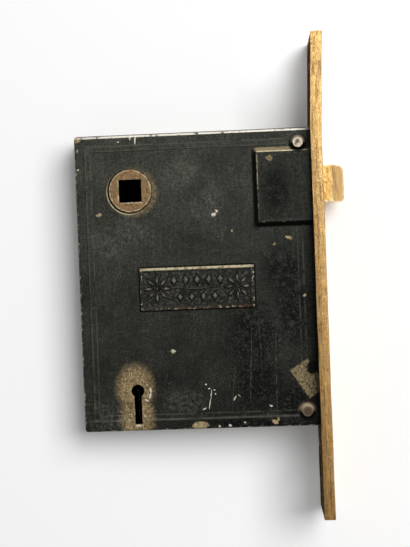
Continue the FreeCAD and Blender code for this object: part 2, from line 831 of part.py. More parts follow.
def biarc(begin, begin_way, end, end_way):
    """Two arcs that join smoothly, from begin along begin_way to end along end_way."""
    span = end - begin
    ways = begin_way + end_way
    slack = 2 * (1 - begin_way.dot(end_way))
    reach = (math.sqrt(span.dot(ways) ** 2 + slack * span.dot(span)) - span.dot(ways)) / slack
    first = begin + begin_way * reach
    last = end - end_way * reach
    meet = (first + last) / 2
    way = (last - first).normalize()
    return [bent_edge(begin, begin_way, first, meet), bent_edge(meet, way, last, end)]


def make_latch_spring():
    """A coil round the stem, one unbroken wire from the guide to the back of the latch head."""
    wire = number("spring_wire_radius")
    radius = number("spring_radius")
    turns = int(number("spring_turns"))
    sides = int(number("spring_wire_sides"))
    left = number("-guide_setback") + wire
    length = number("guide_setback - latch_shank") - 2 * wire
    height = number("spindle_height")
    climb = length / (2 * math.pi * turns)

    def spot(half_turns):
        angle = half_turns * math.pi
        return Vector(
            left + climb * angle, radius * math.cos(angle), height + radius * math.sin(angle),
        )

    def way(half_turns):
        angle = half_turns * math.pi
        return Vector(climb, -radius * math.sin(angle), radius * math.cos(angle)).normalize()

    edges = []
    for step in range(2 * turns):
        edges += biarc(spot(step), way(step), spot(step + 1), way(step + 1))
    outward = Vector(0, wire, 0)
    corners = [
        spot(0) + Rotation(way(0), 360 * side / sides).multVec(outward) for side in range(sides + 1)
    ]
    shell = Part.BRepOffsetAPI.MakePipeShell(Part.Wire(edges))
    shell.add(Part.makePolygon(corners))
    shell.build()
    shell.makeSolid()
    item = doc.addObject("Part::Feature", "latch_spring")
    item.Shape = shell.shape()
    pieces.append(item)
    print(f"latch spring: least gap between turns {length / turns - 2 * wire:.2f} mm")


# Dead bolt

def make_bolt_head():
    body = add_body("bolt_head")
    end = "(faceplate_thickness - bolt_inset)"
    block = face_sketch(body, "bolt_breadth / 2", z=BOLT_HEIGHT)
    rectangle(block, "-bolt_shank", "-bolt_width / 2", end, "bolt_width / 2")
    pad(body, block, "bolt_breadth")
    soften(
        body, "bolt_edge",
        {"X": end, "Y": "bolt_breadth / 2"},
        {"X": end, "Y": "-bolt_breadth / 2"},
        {"X": end, "Z": f"{BOLT_HEIGHT} + bolt_width / 2"},
        {"X": end, "Z": f"{BOLT_HEIGHT} - bolt_width / 2"},
    )
    rebate = face_sketch(body, "-bolt_breadth / 2", z=BOLT_HEIGHT)
    rectangle(rebate, "-bolt_shank", "-bolt_width / 2", TAIL_END, "bolt_width / 2")
    pocket(body, rebate, f"{TAIL_BACK} + bolt_breadth / 2")
    bolt_rivet_holes(body)


def bolt_rivet_holes(body):
    holes = face_sketch(body, "-bolt_breadth / 2", BOLT_RIVET_X, BOLT_HEIGHT)
    for side in ("", "-"):
        circle(holes, "bolt_rivet_radius + fixed_clearance", "0", f"{side}bolt_rivet_spacing / 2")
    pocket(body, holes, "bolt_breadth")


def make_bolt_tail():
    """The plate behind the bolt's head, with the talon for the key and a slot over the post."""
    body = add_body("bolt_tail")
    low, high = "-tail_half_width", "tail_half_width"
    talon = f"({SPINDLE_X} - bolt_throw / 2)"
    bit_height = f"({BOLT_HEIGHT} - tail_half_width - {KEY_HEIGHT})"
    mouth = f"(sqrt(key_reach ^ 2 - {bit_height} ^ 2) + (bit_width - bolt_throw) / 2)"
    root = f"({KEY_HEIGHT} + key_reach + side_gap - {BOLT_HEIGHT})"
    plan = face_sketch(body, TAIL_BACK, z=BOLT_HEIGHT)
    outline(plan, [
        (f"-{TAIL_REACH}", low),
        (f"{talon} - {mouth}", low),
        (f"{talon} - {mouth}", f"{root} - talon_corner"),
        (f"{talon} - {mouth} + talon_corner", root, "-talon_corner"),
        (f"{talon} + {mouth} - talon_corner", root),
        (f"{talon} + {mouth}", f"{root} - talon_corner", "-talon_corner"),
        (f"{talon} + {mouth}", low),
        (TAIL_END, low),
        (TAIL_END, high),
        (f"-{TAIL_REACH}", high),
    ])
    pad(body, plan, "tail_thickness")
    soften(
        body, "tail_corner",
        {"X": f"-{TAIL_REACH}", "Z": f"{BOLT_HEIGHT} + {low}"},
        {"X": f"-{TAIL_REACH}", "Z": f"{BOLT_HEIGHT} + {high}"},
    )
    half = "(post_radius + slot_clearance)"
    slot = face_sketch(body, TAIL_FRONT, "-post_setback", POST_HEIGHT)
    outline(slot, [
        ("-bolt_throw", f"-{half}", half),
        ("0", f"-{half}"),
        (half, "0", half),
        ("0", half, half),
        ("-bolt_throw", half),
        (f"-bolt_throw - {half}", "0", half),
    ])
    pocket(body, slot, "tail_thickness")
    tenon = face_sketch(body, TAIL_FRONT, "-stump_setback", POST_HEIGHT)
    circle(tenon, "stump_tenon_radius + fixed_clearance")
    pocket(body, tenon, "tail_thickness")
    bolt_rivet_holes(body)


def make_bolt_stump():
    """The stump that the levers hold, with a tenon through the bolt's tail."""
    stump = rod(
        "stump_body", "stump_radius", f"{STUMP_END} - {TAIL_BACK}",
        "-stump_setback", STUMP_END, POST_HEIGHT,
    )
    tenon = rod(
        "stump_tenon", "stump_tenon_radius", "tail_thickness",
        "-stump_setback", TAIL_BACK, POST_HEIGHT,
    )
    pieces.append(joined("bolt_stump", stump, tenon))


def make_bolt_rivets():
    pair = doc.addObject("Part::Compound", "bolt_rivets")
    pair.Links = [
        rod(
            f"bolt_rivet_{name}", "bolt_rivet_radius", f"bolt_breadth / 2 - {TAIL_FRONT}",
            BOLT_RIVET_X, "bolt_breadth / 2", f"{BOLT_HEIGHT} {side} bolt_rivet_spacing / 2",
        )
        for name, side in (("upper", "+"), ("lower", "-"))
    ]
    pieces.append(pair)


# Levers

def make_lever(order):
    """A lever on the post, lifted so that its gate lies along the stump's path.

    Its gate opens at each end into a pocket that the stump stands in when the lever drops. Its
    belly is an arc about the key, and each lever's is a step lower than the one before.
    """
    body = add_body(f"lever_{order}")
    back = f"({TAIL_BACK} + {order} * {LEVER_PITCH})"
    key_across = f"({SPINDLE_X} + post_setback)"
    belly = f"(key_reach - {order - 1} * bit_step)"
    sole = f"({KEY_HEIGHT} - {POST_HEIGHT} + sqrt({belly} ^ 2 - belly_half_width ^ 2))"
    plan = face_sketch(body, back, "-post_setback", POST_HEIGHT)
    outline(plan, [
        ("0", "-lever_eye"),
        ("lever_eye", "0", "lever_eye"),
        ("0", "lever_eye", "lever_eye"),
        ("-lever_eye", "lever_top"),
        (f"lever_corner - {LEVER_REACH}", "lever_top"),
        (f"-{LEVER_REACH}", "lever_top - lever_corner", "lever_corner"),
        (f"-{LEVER_REACH}", f"{sole} + lever_corner"),
        (f"lever_corner - {LEVER_REACH}", sole, "lever_corner"),
        (f"{key_across} - belly_half_width", sole),
        (f"{key_across} + belly_half_width", sole, f"-{belly}"),
        (f"{key_across} + belly_half_width + lever_corner", "-lever_eye"),
    ])
    pad(body, plan, "lever_thickness")
    bore = face_sketch(body, f"{back} - lever_thickness", "-post_setback", POST_HEIGHT)
    circle(bore, "post_radius + running_clearance")
    pocket(body, bore, "lever_thickness")
    drawn = "(stump_setback - post_setback)"
    shot = f"({drawn} - bolt_throw)"
    room = "(stump_radius + side_gap)"
    rail = "(stump_radius + gate_clearance)"
    gate = face_sketch(body, f"{back} - lever_thickness", "-post_setback", POST_HEIGHT)
    outline(gate, [
        (f"-{drawn} - {room}", f"-{rail}"),
        (f"-{shot} + {room} + gate_clearance", f"-{rail}"),
        (f"-{shot} + {room} + gate_clearance", f"{shot} * sin(lever_drop) + {room}"),
        (f"-{shot} - {room}", f"{shot} * sin(lever_drop) + {room}"),
        (f"-{shot} - {room}", rail),
        (f"-{drawn} * cos(lever_drop) + {room}", rail),
        (f"-{drawn} * cos(lever_drop) + {room}", f"{drawn} * sin(lever_drop) + {room}"),
        (f"-{drawn} - {room}", f"{drawn} * sin(lever_drop) + {room}"),
    ])
    pocket(body, gate, "lever_thickness")


def make_lever_spring(order):
    """A flat spring with its foot on the lever's top edge, curved up to the stop in the case."""
    body = add_body(f"lever_spring_{order}")
    middle = f"({TAIL_BACK} + {order} * {LEVER_PITCH} - lever_thickness / 2)"
    foot = "(lever_eye + side_gap)"
    heel = f"({foot} + lever_spring_foot)"
    thick = "lever_spring_thickness"
    rise = f"(spring_stop_above_post - side_gap - {thick} - lever_top)"
    run = f"(lever_spring_reach - {heel})"
    bend = f"(({run} ^ 2 + {rise} ^ 2) / (2 * {rise}))"
    strip = face_sketch(
        body, f"{middle} + lever_spring_width / 2", "-post_setback", f"{POST_HEIGHT} + lever_top",
    )
    outline(strip, [
        ("-lever_spring_reach", rise),
        (f"-{heel}", "0", bend),
        (f"-{foot}", "0"),
        (f"-{foot}", thick),
        (f"-{heel}", thick),
        ("-lever_spring_reach", f"{rise} + {thick}", f"-{bend}"),
    ])
    pad(body, strip, "lever_spring_width")


make_case()
make_cap()
make_faceplate()
make_front_rivet("front_rivet_upper", LUG_HEIGHT)
make_front_rivet("front_rivet_lower", f"-{LUG_HEIGHT}")
make_cap_screw("cap_screw_front", "front_screw_setback")
make_cap_screw("cap_screw_rear", REAR_SCREW)
make_lever_post()
make_hub()
make_latch_head()
make_latch_stem()
make_latch_pin()
make_latch_yoke()
make_latch_spring()
make_bolt_head()
make_bolt_tail()
make_bolt_stump()
make_bolt_rivets()
for lever_order in range(1, int(number("lever_count")) + 1):
    make_lever(lever_order)
    make_lever_spring(lever_order)

doc.recompute()
for item in doc.Objects:
    if "Invalid" in item.State or "Error" in item.State:
        raise ValueError(f"{item.Label} failed: {item.State}")
for piece in pieces:
    if piece.Shape.isNull() or not piece.Shape.isValid() or piece.Shape.Volume <= 0:
        raise ValueError(f"{piece.Label} has no valid shape")
for piece in pieces:
    piece.Shape.exportStep(f"parts/{piece.Label}.step")
    print(f"{piece.Label}: {len(piece.Shape.Solids)} solid, {piece.Shape.Volume:.1f} mm3")
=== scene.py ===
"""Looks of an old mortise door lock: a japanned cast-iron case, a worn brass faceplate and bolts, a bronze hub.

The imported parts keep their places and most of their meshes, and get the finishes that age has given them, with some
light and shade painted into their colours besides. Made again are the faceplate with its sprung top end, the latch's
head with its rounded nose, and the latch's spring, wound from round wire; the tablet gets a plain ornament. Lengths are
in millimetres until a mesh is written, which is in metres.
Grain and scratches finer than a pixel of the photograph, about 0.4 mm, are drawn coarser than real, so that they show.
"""
import json
import logging
import math
from collections.abc import Callable
from dataclasses import dataclass, field
from enum import Enum
from functools import reduce
from typing import Any

import bmesh
import bpy
from mathutils import Euler, Matrix, Vector, noise


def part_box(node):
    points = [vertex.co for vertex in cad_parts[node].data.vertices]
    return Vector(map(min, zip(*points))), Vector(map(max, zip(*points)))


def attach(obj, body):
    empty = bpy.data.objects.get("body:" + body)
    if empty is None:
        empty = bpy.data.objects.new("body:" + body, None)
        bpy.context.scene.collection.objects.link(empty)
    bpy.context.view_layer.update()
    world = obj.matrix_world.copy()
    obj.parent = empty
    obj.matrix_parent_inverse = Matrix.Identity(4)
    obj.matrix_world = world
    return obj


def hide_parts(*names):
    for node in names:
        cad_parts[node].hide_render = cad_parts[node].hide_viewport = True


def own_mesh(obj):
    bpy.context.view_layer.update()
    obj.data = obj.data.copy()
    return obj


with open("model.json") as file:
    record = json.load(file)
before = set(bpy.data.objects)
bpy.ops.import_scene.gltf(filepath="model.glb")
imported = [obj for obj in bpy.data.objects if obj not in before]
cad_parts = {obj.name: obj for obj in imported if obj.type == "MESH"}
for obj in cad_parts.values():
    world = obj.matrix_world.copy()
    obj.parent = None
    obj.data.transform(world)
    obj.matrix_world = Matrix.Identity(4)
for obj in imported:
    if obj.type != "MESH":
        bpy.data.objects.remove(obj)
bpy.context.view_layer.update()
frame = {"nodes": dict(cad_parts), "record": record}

log = logging.getLogger("door_lock")
METRE = 1000.0
PHOTO_SIZE = (410, 547)
FACE = -8.0  # Y of the case's broad face; the cap's is as far the other way
SUNK = FACE - 0.35  # Y of the tablet's field, sunk within its rim
THROUGH = 200.0  # a reach that goes past the whole lock
# The walls of the holes are painted black as shade within this distance of the case's middle plane.
WALL = 7.75  # how far the dark walls of the holes reach towards both broad faces

Socket = bpy.types.NodeSocket
Material = bpy.types.Material
Mesh = bpy.types.Mesh
Triple = tuple[float, float, float]
Place = Triple | Vector
Level = float | Socket
Colour = str | tuple[float, float, float, float] | Socket


class Kind(Enum):
    """The node types that the finishes, the studio and the repeated forms are made of."""

    PLACE = "ShaderNodeTexCoord"
    MAPPING = "ShaderNodeMapping"
    SPLIT = "ShaderNodeSeparateXYZ"
    JOIN = "ShaderNodeCombineXYZ"
    NOISE = "ShaderNodeTexNoise"
    VECTOR = "ShaderNodeVectorMath"
    MATH = "ShaderNodeMath"
    RANGE = "ShaderNodeMapRange"
    MIX = "ShaderNodeMix"
    BUMP = "ShaderNodeBump"
    PATH = "ShaderNodeLightPath"
    GEOMETRY = "ShaderNodeNewGeometry"
    SHADER = "ShaderNodeBsdfPrincipled"
    DIFFUSE = "ShaderNodeBsdfDiffuse"
    CLEAR = "ShaderNodeBsdfTransparent"
    EMISSION = "ShaderNodeEmission"
    ADD_SHADERS = "ShaderNodeAddShader"
    MIX_SHADERS = "ShaderNodeMixShader"
    OUTPUT = "ShaderNodeOutputMaterial"
    BACKGROUND = "ShaderNodeBackground"
    WORLD = "ShaderNodeOutputWorld"
    CONE = "GeometryNodeMeshCone"
    LINE = "GeometryNodeMeshLine"
    INDEX = "GeometryNodeInputIndex"
    INSTANCES = "GeometryNodeInstanceOnPoints"
    SPIRAL = "GeometryNodeCurveSpiral"
    CIRCLE = "GeometryNodeCurvePrimitiveCircle"
    SWEEP = "GeometryNodeCurveToMesh"
    TRANSFORM = "GeometryNodeTransform"
    REALIZE = "GeometryNodeRealizeInstances"
    FINISH = "GeometryNodeSetMaterial"


class Outline(Enum):
    """The outline of a worn or painted area."""

    ROUND = "round"
    SQUARE = "square"


def linear(hex_colour: str) -> tuple[float, float, float, float]:
    """Turns an sRGB colour into the linear values that Blender's sockets hold.

    Args:
        hex_colour: the colour as "#rrggbb".

    Returns:
        Red, green, blue and an alpha of one.
    """
    parts = [int(hex_colour[i : i + 2], 16) / 255 for i in (1, 3, 5)]
    red, green, blue = (p / 12.92 if p <= 0.04045 else ((p + 0.055) / 1.055) ** 2.4 for p in parts)
    return red, green, blue, 1.0


class Tree:
    """A node tree under construction, with the one function that adds a node to it."""

    def __init__(self, tree: bpy.types.NodeTree) -> None:
        """Starts with an empty tree."""
        self.tree = tree
        tree.nodes.clear()

    def add(
        self,
        kind: Kind,
        settings: dict[str, Any] | str | None = None,
        inputs: dict[str | int, Any] | None = None,
        out: str | int = 0,
    ) -> Socket | None:
        """Adds one node, sets it up and links it.

        Args:
            kind: the node's type.
            settings: the node's own properties, or its operation alone.
            inputs: what each input gets, by identifier, name or place: another node's output, or a plain value.
            out: identifier, name or place of the output that is wanted.

        Returns:
            The wanted output, or None for a node that has none.
        """

        def pick(sockets: Any, key: str | int) -> Socket:
            """Finds a socket by place, identifier or name."""
            return next((s for s in sockets if s.identifier == key), None) or sockets[key]

        node = self.tree.nodes.new(kind.value)
        if isinstance(settings, str):
            settings = {"operation": settings}
        for name, value in (settings or {}).items():
            setattr(node, name, value)
        for key, value in (inputs or {}).items():
            if isinstance(value, Socket):
                self.tree.links.new(value, pick(node.inputs, key))
            else:
                pick(node.inputs, key).default_value = linear(value) if isinstance(value, str) else value
        return pick(node.outputs, out) if len(node.outputs) else None


@dataclass(frozen=True)
class Coat:
    """One layer of a finish, as the light meets it.

    Attributes:
        colour: its colour as sRGB hex, or a socket that varies it.
        rough: its roughness.
        metal: 1 for bare metal, 0 for paint, rust or dirt.
        rise: how far it stands above or below the layer under it, in millimetres.
        gloss: how much it shines besides, 0.5 for clean varnish and for all metals.
    """

    colour: Colour
    rough: Level = 0.5
    metal: float = 0.0
    rise: float = 0.0
    gloss: float = 0.5


# Painted shade: a matt black without shine, laid on the walls of the holes and in the gap round the hub.
PAINTED_SHADE = Coat("#060504", 0.9, gloss=0.0)


class Surface(Tree):
    """A material under construction, from its bottom coat to its last mark.

    All patterns read Object coordinates, so they stay put on the piece when it moves. Points and vectors aren't mixed
    within a pattern: each change from one to the other costs the renderer room, and it has little.
    """

    shake_size: float = 1.1  # the size of the waves in a ragged border

    def __init__(self, name: str, base: Coat) -> None:
        """Starts a material.

        Args:
            name: the material's name.
            base: the coat that covers all of it.
        """
        self.material = bpy.data.materials.new(name)
        self.material.use_nodes = True
        super().__init__(self.material.node_tree)
        self.metres = self.add(Kind.PLACE, out="Object")
        self.place = self.add(Kind.VECTOR, "SCALE", {"Vector": self.metres, "Scale": METRE})
        self.colour, self.rough, self.metal, self.gloss = base.colour, base.rough, base.metal, base.gloss
        self.height = 0.0
        shaken = {"Vector": self.metres, "Scale": METRE / self.shake_size, "Detail": 4.0, "Roughness": 0.65}
        shake = self.add(Kind.NOISE, None, shaken, "Color")
        self.shake = self.add(Kind.VECTOR, "SUBTRACT", {0: shake, 1: (0.5, 0.5, 0.5)})

    def grain(self, size: float, low: float = 0.35, high: float = 0.65, detail: float = 3, long: float = 1) -> Socket:
        """Cloudy variation of a real size.

        Args:
            size: distance between neighbouring clouds.
            low: the level of the noise that becomes 0.
            high: the level of the noise that becomes 1.
            detail: how many finer sizes lie on top.
            long: how many times longer than wide a cloud is, upright.

        Returns:
            A value from 0 to 1.
        """
        scale = [METRE / (size * stretch) for stretch in (1, 1, long)]
        drawn = self.add(Kind.MAPPING, None, {"Vector": self.metres, "Scale": scale})
        level = self.add(Kind.NOISE, None, {"Vector": drawn, "Scale": 1.0, "Detail": detail, "Roughness": 0.6})
        return self.add(Kind.RANGE, None, {"Value": level, "From Min": low, "From Max": high})

    def scratches(self, width: float, length: float, turn: float) -> Socket:
        """Thin scratches that all run one way.

        Args:
            width: the width of a scratch.
            length: how many times longer than wide it is.
            turn: its direction from upright, about the Y axis, in degrees.

        Returns:
            1 on a scratch and 0 off it.
        """
        scale = [w / METRE for w in (width, width, width * length)]
        placed = {"Vector": self.metres, "Rotation": (0, math.radians(turn), 0), "Scale": scale}
        drawn = self.add(Kind.MAPPING, {"vector_type": "TEXTURE"}, placed)
        level = self.add(Kind.NOISE, None, {"Vector": drawn, "Scale": 1.0, "Detail": 1.0})
        return self.add(Kind.RANGE, None, {"Value": level, "From Min": 0.68, "From Max": 0.76})

    def area(
        self,
        centre: Place,
        half: Place,
        ragged: float = 0.0,
        soft: float = 0.1,
        outline: Outline = Outline.SQUARE,
        turn: float = 0.0,
    ) -> Socket:
        """A patch at a real place.

        Args:
            centre: its middle.
            half: its half size along each axis.
            ragged: how far its border wanders.
            soft: the share of its half size over which it fades.
            outline: whether it is an ellipsoid or a block.
            turn: its turn about the Y axis in degrees.

        Returns:
            1 inside and 0 outside.
        """
        at = self.place
        if ragged:
            at = self.add(Kind.VECTOR, "MULTIPLY_ADD", {0: self.shake, 1: [2 * ragged] * 3, 2: at})
        local = self.add(Kind.VECTOR, "SUBTRACT", {0: at, 1: centre})
        cos, sin = math.cos(math.radians(turn)), math.sin(math.radians(turn))
        across, deep, up = half
        axes = ((cos / across, 0, -sin / across), (0, 1 / deep, 0), (sin / up, 0, cos / up))
        spans = [self.add(Kind.VECTOR, "DOT_PRODUCT", {0: local, 1: axis}, "Value") for axis in axes]
        if outline is Outline.ROUND:
            spanned = self.add(Kind.JOIN, None, dict(enumerate(spans)))
            far = self.add(Kind.VECTOR, "LENGTH", {0: spanned}, "Value")
        else:
            far = self.either(*(self.add(Kind.MATH, "ABSOLUTE", {0: span}) for span in spans))
        fade = {"Value": far, "From Min": 1 + soft, "From Max": 1 - soft}
        return self.add(Kind.RANGE, {"interpolation_type": "SMOOTHSTEP"}, fade)

    def both(self, *masks: Level) -> Level:
        """Where all of several masks hold."""
        return reduce(lambda one, two: self.add(Kind.MATH, "MULTIPLY", {0: one, 1: two}), masks)

    def either(self, *masks: Level) -> Level:
        """Where any of several masks holds."""
        return reduce(lambda one, two: self.add(Kind.MATH, "MAXIMUM", {0: one, 1: two}), masks)

    def other(self, mask: Socket) -> Socket:
        """Where a mask doesn't hold."""
        return self.add(Kind.MATH, "SUBTRACT", {0: 1.0, 1: mask})

    def tint(self, mask: Socket, below: Colour, above: Colour) -> Socket:
        """A colour that passes from one to another with a mask."""
        colours = {"Factor_Float": mask, "A_Color": below, "B_Color": above}
        return self.add(Kind.MIX, {"data_type": "RGBA"}, colours, "Result_Color")

    def lay(self, coat: Coat, *masks: Level) -> None:
        """Lays a coat over what is there.

        Args:
            coat: what it looks like.
            masks: it lies where all of these hold.
        """
        mask = self.both(*masks)
        self.colour = self.tint(mask, self.colour, coat.colour)
        for name in ("rough", "metal", "gloss"):
            old, new = getattr(self, name), getattr(coat, name)
            if isinstance(old, Socket) or isinstance(new, Socket) or old != new:
                mixed = {"Factor_Float": mask, "A_Float": old, "B_Float": new}
                setattr(self, name, self.add(Kind.MIX, None, mixed, "Result_Float"))
        if coat.rise:
            self.lift(mask, coat.rise)

    def lift(self, shape: Socket, rise: float) -> None:
        """Adds relief of a real height, in millimetres, where a shape is 1."""
        self.height = self.add(Kind.MATH, "MULTIPLY_ADD", {0: shape, 1: rise, 2: self.height})

    def done(self) -> Material:
        """Closes the material with its shader.

        Returns:
            The material.
        """
        inputs = {"Base Color": self.colour, "Roughness": self.rough, "Metallic": self.metal}
        inputs["Specular IOR Level"] = self.gloss
        if isinstance(self.height, Socket):
            relief = {"Strength": 1.0, "Distance": 1 / METRE, "Height": self.height}
            inputs["Normal"] = self.add(Kind.BUMP, None, relief)
        self.add(Kind.OUTPUT, None, {"Surface": self.add(Kind.SHADER, None, inputs)})
        return self.material


@dataclass(frozen=True)
class Mark:
    """A chip, drip or worn patch on a broad face.

    Attributes:
        across: X of its middle.
        up: Z of its middle.
        half_across: half its width.
        half_up: half its height.
        turn: its turn in the plane of the face, in degrees.
    """

    across: float
    up: float
    half_across: float
    half_up: float
    turn: float = 0.0

    def on(
        self,
        surface: Surface,
        depth: float,
        reach: float,
        ragged: float,
        soft: float,
        outline: Outline = Outline.ROUND,
    ) -> Socket:
        """The mark as a mask on a surface.

        Args:
            surface: the material that carries it.
            depth: Y of the face that it lies on.
            reach: how far the mark goes in front of and behind that Y.
            ragged: how far its border wanders.
            soft: the share of its half size over which it fades.
            outline: its outline.

        Returns:
            1 inside the mark and 0 outside.
        """
        half = (self.half_across, reach, self.half_up)
        return surface.area((self.across, depth, self.up), half, ragged, soft, outline, self.turn)


def marks(*rows: tuple[float, ...]) -> tuple[Mark, ...]:
    """Marks from rows of X, Z, half width, half height and turn."""
    return tuple(Mark(*row) for row in rows)


@dataclass(frozen=True)
class JapannedIron:
    """Black japan, an asphalt varnish brushed on cast iron and baked.

    It gives the eye a dull greenish black with faint brush streaks over the casting's low waves, rubbed brown at
    its edges and round the holes, and chipped to tan rust.

    Attributes:
        black: the varnish where it is sound.
        soot: the varnish where it is cleanest, also laid as painted shade at the foot of the boss.
        dull: its mottling.
        haze: the greenish grey that age gives it.
        scuff: its fine scratches and specks.
        brown: the iron where hands and keys have rubbed it.
        rust: the lighter patches of that iron.
        bare: its rubbed ridges and edges, also laid as a painted highlight on some edges.
        wave: the size of the casting's low waves.
        streak: the width of a brush streak.
        grit: the size of a grain of the casting's skin, drawn about twice as coarse as real.
        gloss: how much the varnish shines.
        dulled_towards: the direction in which it grows duller.
        dulled_from: how far that way it is at its least dull.
        dulled_to: how far that way it is at its dullest.
        least_dull: the haze's share where it is least dull.
        dullest: the same where it is dullest.
    """

    black: str = "#080807"
    soot: str = "#050505"
    dull: str = "#0f100e"
    haze: str = "#6a6b61"
    scuff: str = "#8f8c7e"
    brown: str = "#776447"
    rust: str = "#95805a"
    bare: str = "#d2c5a2"
    wave: float = 11.0
    streak: float = 0.9
    grit: float = 0.42
    gloss: float = 0.07
    dulled_towards: Triple = (-0.3, 0.0, 1.0)
    dulled_from: float = -52.0
    dulled_to: float = 68.0
    least_dull: float = 0.03
    dullest: float = 0.36

    def paint(self, colour: Colour, rough: float = 0.5, rise: float = 0.0) -> Coat:
        """A coat with the japan's low gloss."""
        return Coat(colour, rough, rise=rise, gloss=self.gloss)

    def start(self, name: str) -> Surface:
        """Brushes on the sound japan: dull towards the top and rear, black towards the bottom.

        Args:
            name: the material's name.

        Returns:
            The material under construction, with nothing worn yet.
        """
        coat = Surface(name, self.paint(self.black, 0.4))
        along = coat.add(Kind.VECTOR, "DOT_PRODUCT", {0: coat.place, 1: self.dulled_towards}, "Value")
        reach = {"From Min": self.dulled_from, "From Max": self.dulled_to}
        age = coat.add(Kind.RANGE, None, {"Value": along, **reach, "To Min": self.least_dull, "To Max": self.dullest})
        cloud = coat.grain(self.wave, 0.32, 0.68, 6)
        mottle = coat.grain(1.3, 0.36, 0.64, 5)
        tooth = coat.grain(self.grit, 0.3, 0.7, 2)
        varied = [
            coat.add(Kind.MATH, "MULTIPLY_ADD", {0: pattern, 1: share, 2: rest})
            for pattern, share, rest in ((cloud, 0.6, 0.5), (mottle, 0.5, 0.75), (tooth, 0.9, 0.55))
        ]
        coat.colour = coat.tint(mottle, self.black, self.dull)
        coat.lay(self.paint(self.haze, 0.6), age, *varied)
        streaks = coat.grain(self.streak, 0.5, 0.78, long=9)
        coat.lay(self.paint(self.haze, 0.6), streaks, age, 0.5)
        specks, patchy = coat.grain(self.grit, 0.57, 0.7, 2), coat.grain(8.0, 0.4, 0.65, 4)
        coat.lay(self.paint(self.scuff, 0.65, 0.012), specks, patchy, 0.45)
        # Real hairlines are about 0.05 mm wide; these are as coarse as they need to be to show.
        for turn in (8.0, 84.0):
            coat.lay(self.paint(self.scuff, 0.6), coat.scratches(0.25, 30.0, turn), 0.25)
        coat.lay(self.paint(self.black, 0.6, -0.03), coat.grain(self.grit * 1.5, 0.58, 0.68), 0.7)
        coat.lift(cloud, 0.08)
        coat.lift(streaks, 0.006)
        return coat

    def cloud(self, coat: Surface, where: Socket, strength: float = 0.13) -> None:
        """Clouds the japan with whitish scuffs."""
        coat.lay(self.paint("#b4b2a6", 0.65), where, coat.grain(1.1, 0.42, 0.7, 5), strength)

    def rub(self, coat: Surface, where: Socket, strength: float = 1.0) -> None:
        """Wears the japan away to brown iron with lighter wormy ridges.

        Args:
            coat: the material.
            where: the worn place.
            strength: how far it is worn.
        """
        brown = coat.tint(coat.grain(1.2, 0.4, 0.6), self.brown, self.rust)
        coat.lay(self.paint(brown, 0.7), where, coat.grain(2.6, 0.2, 0.45, 5), strength)
        worms = coat.grain(0.62, 0.54, 0.66, 2, 1.5)
        coat.lay(Coat(self.bare, 0.5, 0.2, 0.06, self.gloss), where, worms, 0.7 * strength)
        coat.lay(self.paint("#2a231a", 0.8, -0.05), where, coat.grain(0.55, 0.55, 0.64, 2), 0.7 * strength)

    def chip(self, coat: Surface, where: Socket) -> None:
        """Knocks the japan off down to pale rust."""
        rust = coat.tint(coat.grain(0.6, 0.48, 0.72), self.rust, self.bare)
        coat.lay(self.paint(rust, 0.75, -0.07), where)

    def brighten(self, coat: Surface, where: Socket, size: float = 1.6, low: float = 0.4, share: float = 1.0) -> None:
        """Lays a broken line of pale metal on an edge: rubbing, and on some edges a painted highlight besides."""
        coat.lay(Coat(self.bare, 0.4, 0.3, gloss=self.gloss), where, coat.grain(size, low, low + 0.12, 4), share)

    def splash(self, coat: Surface, where: Socket) -> None:
        """Leaves whitish paint."""
        coat.lay(self.paint("#d3ccb8", 0.7, 0.03), where)


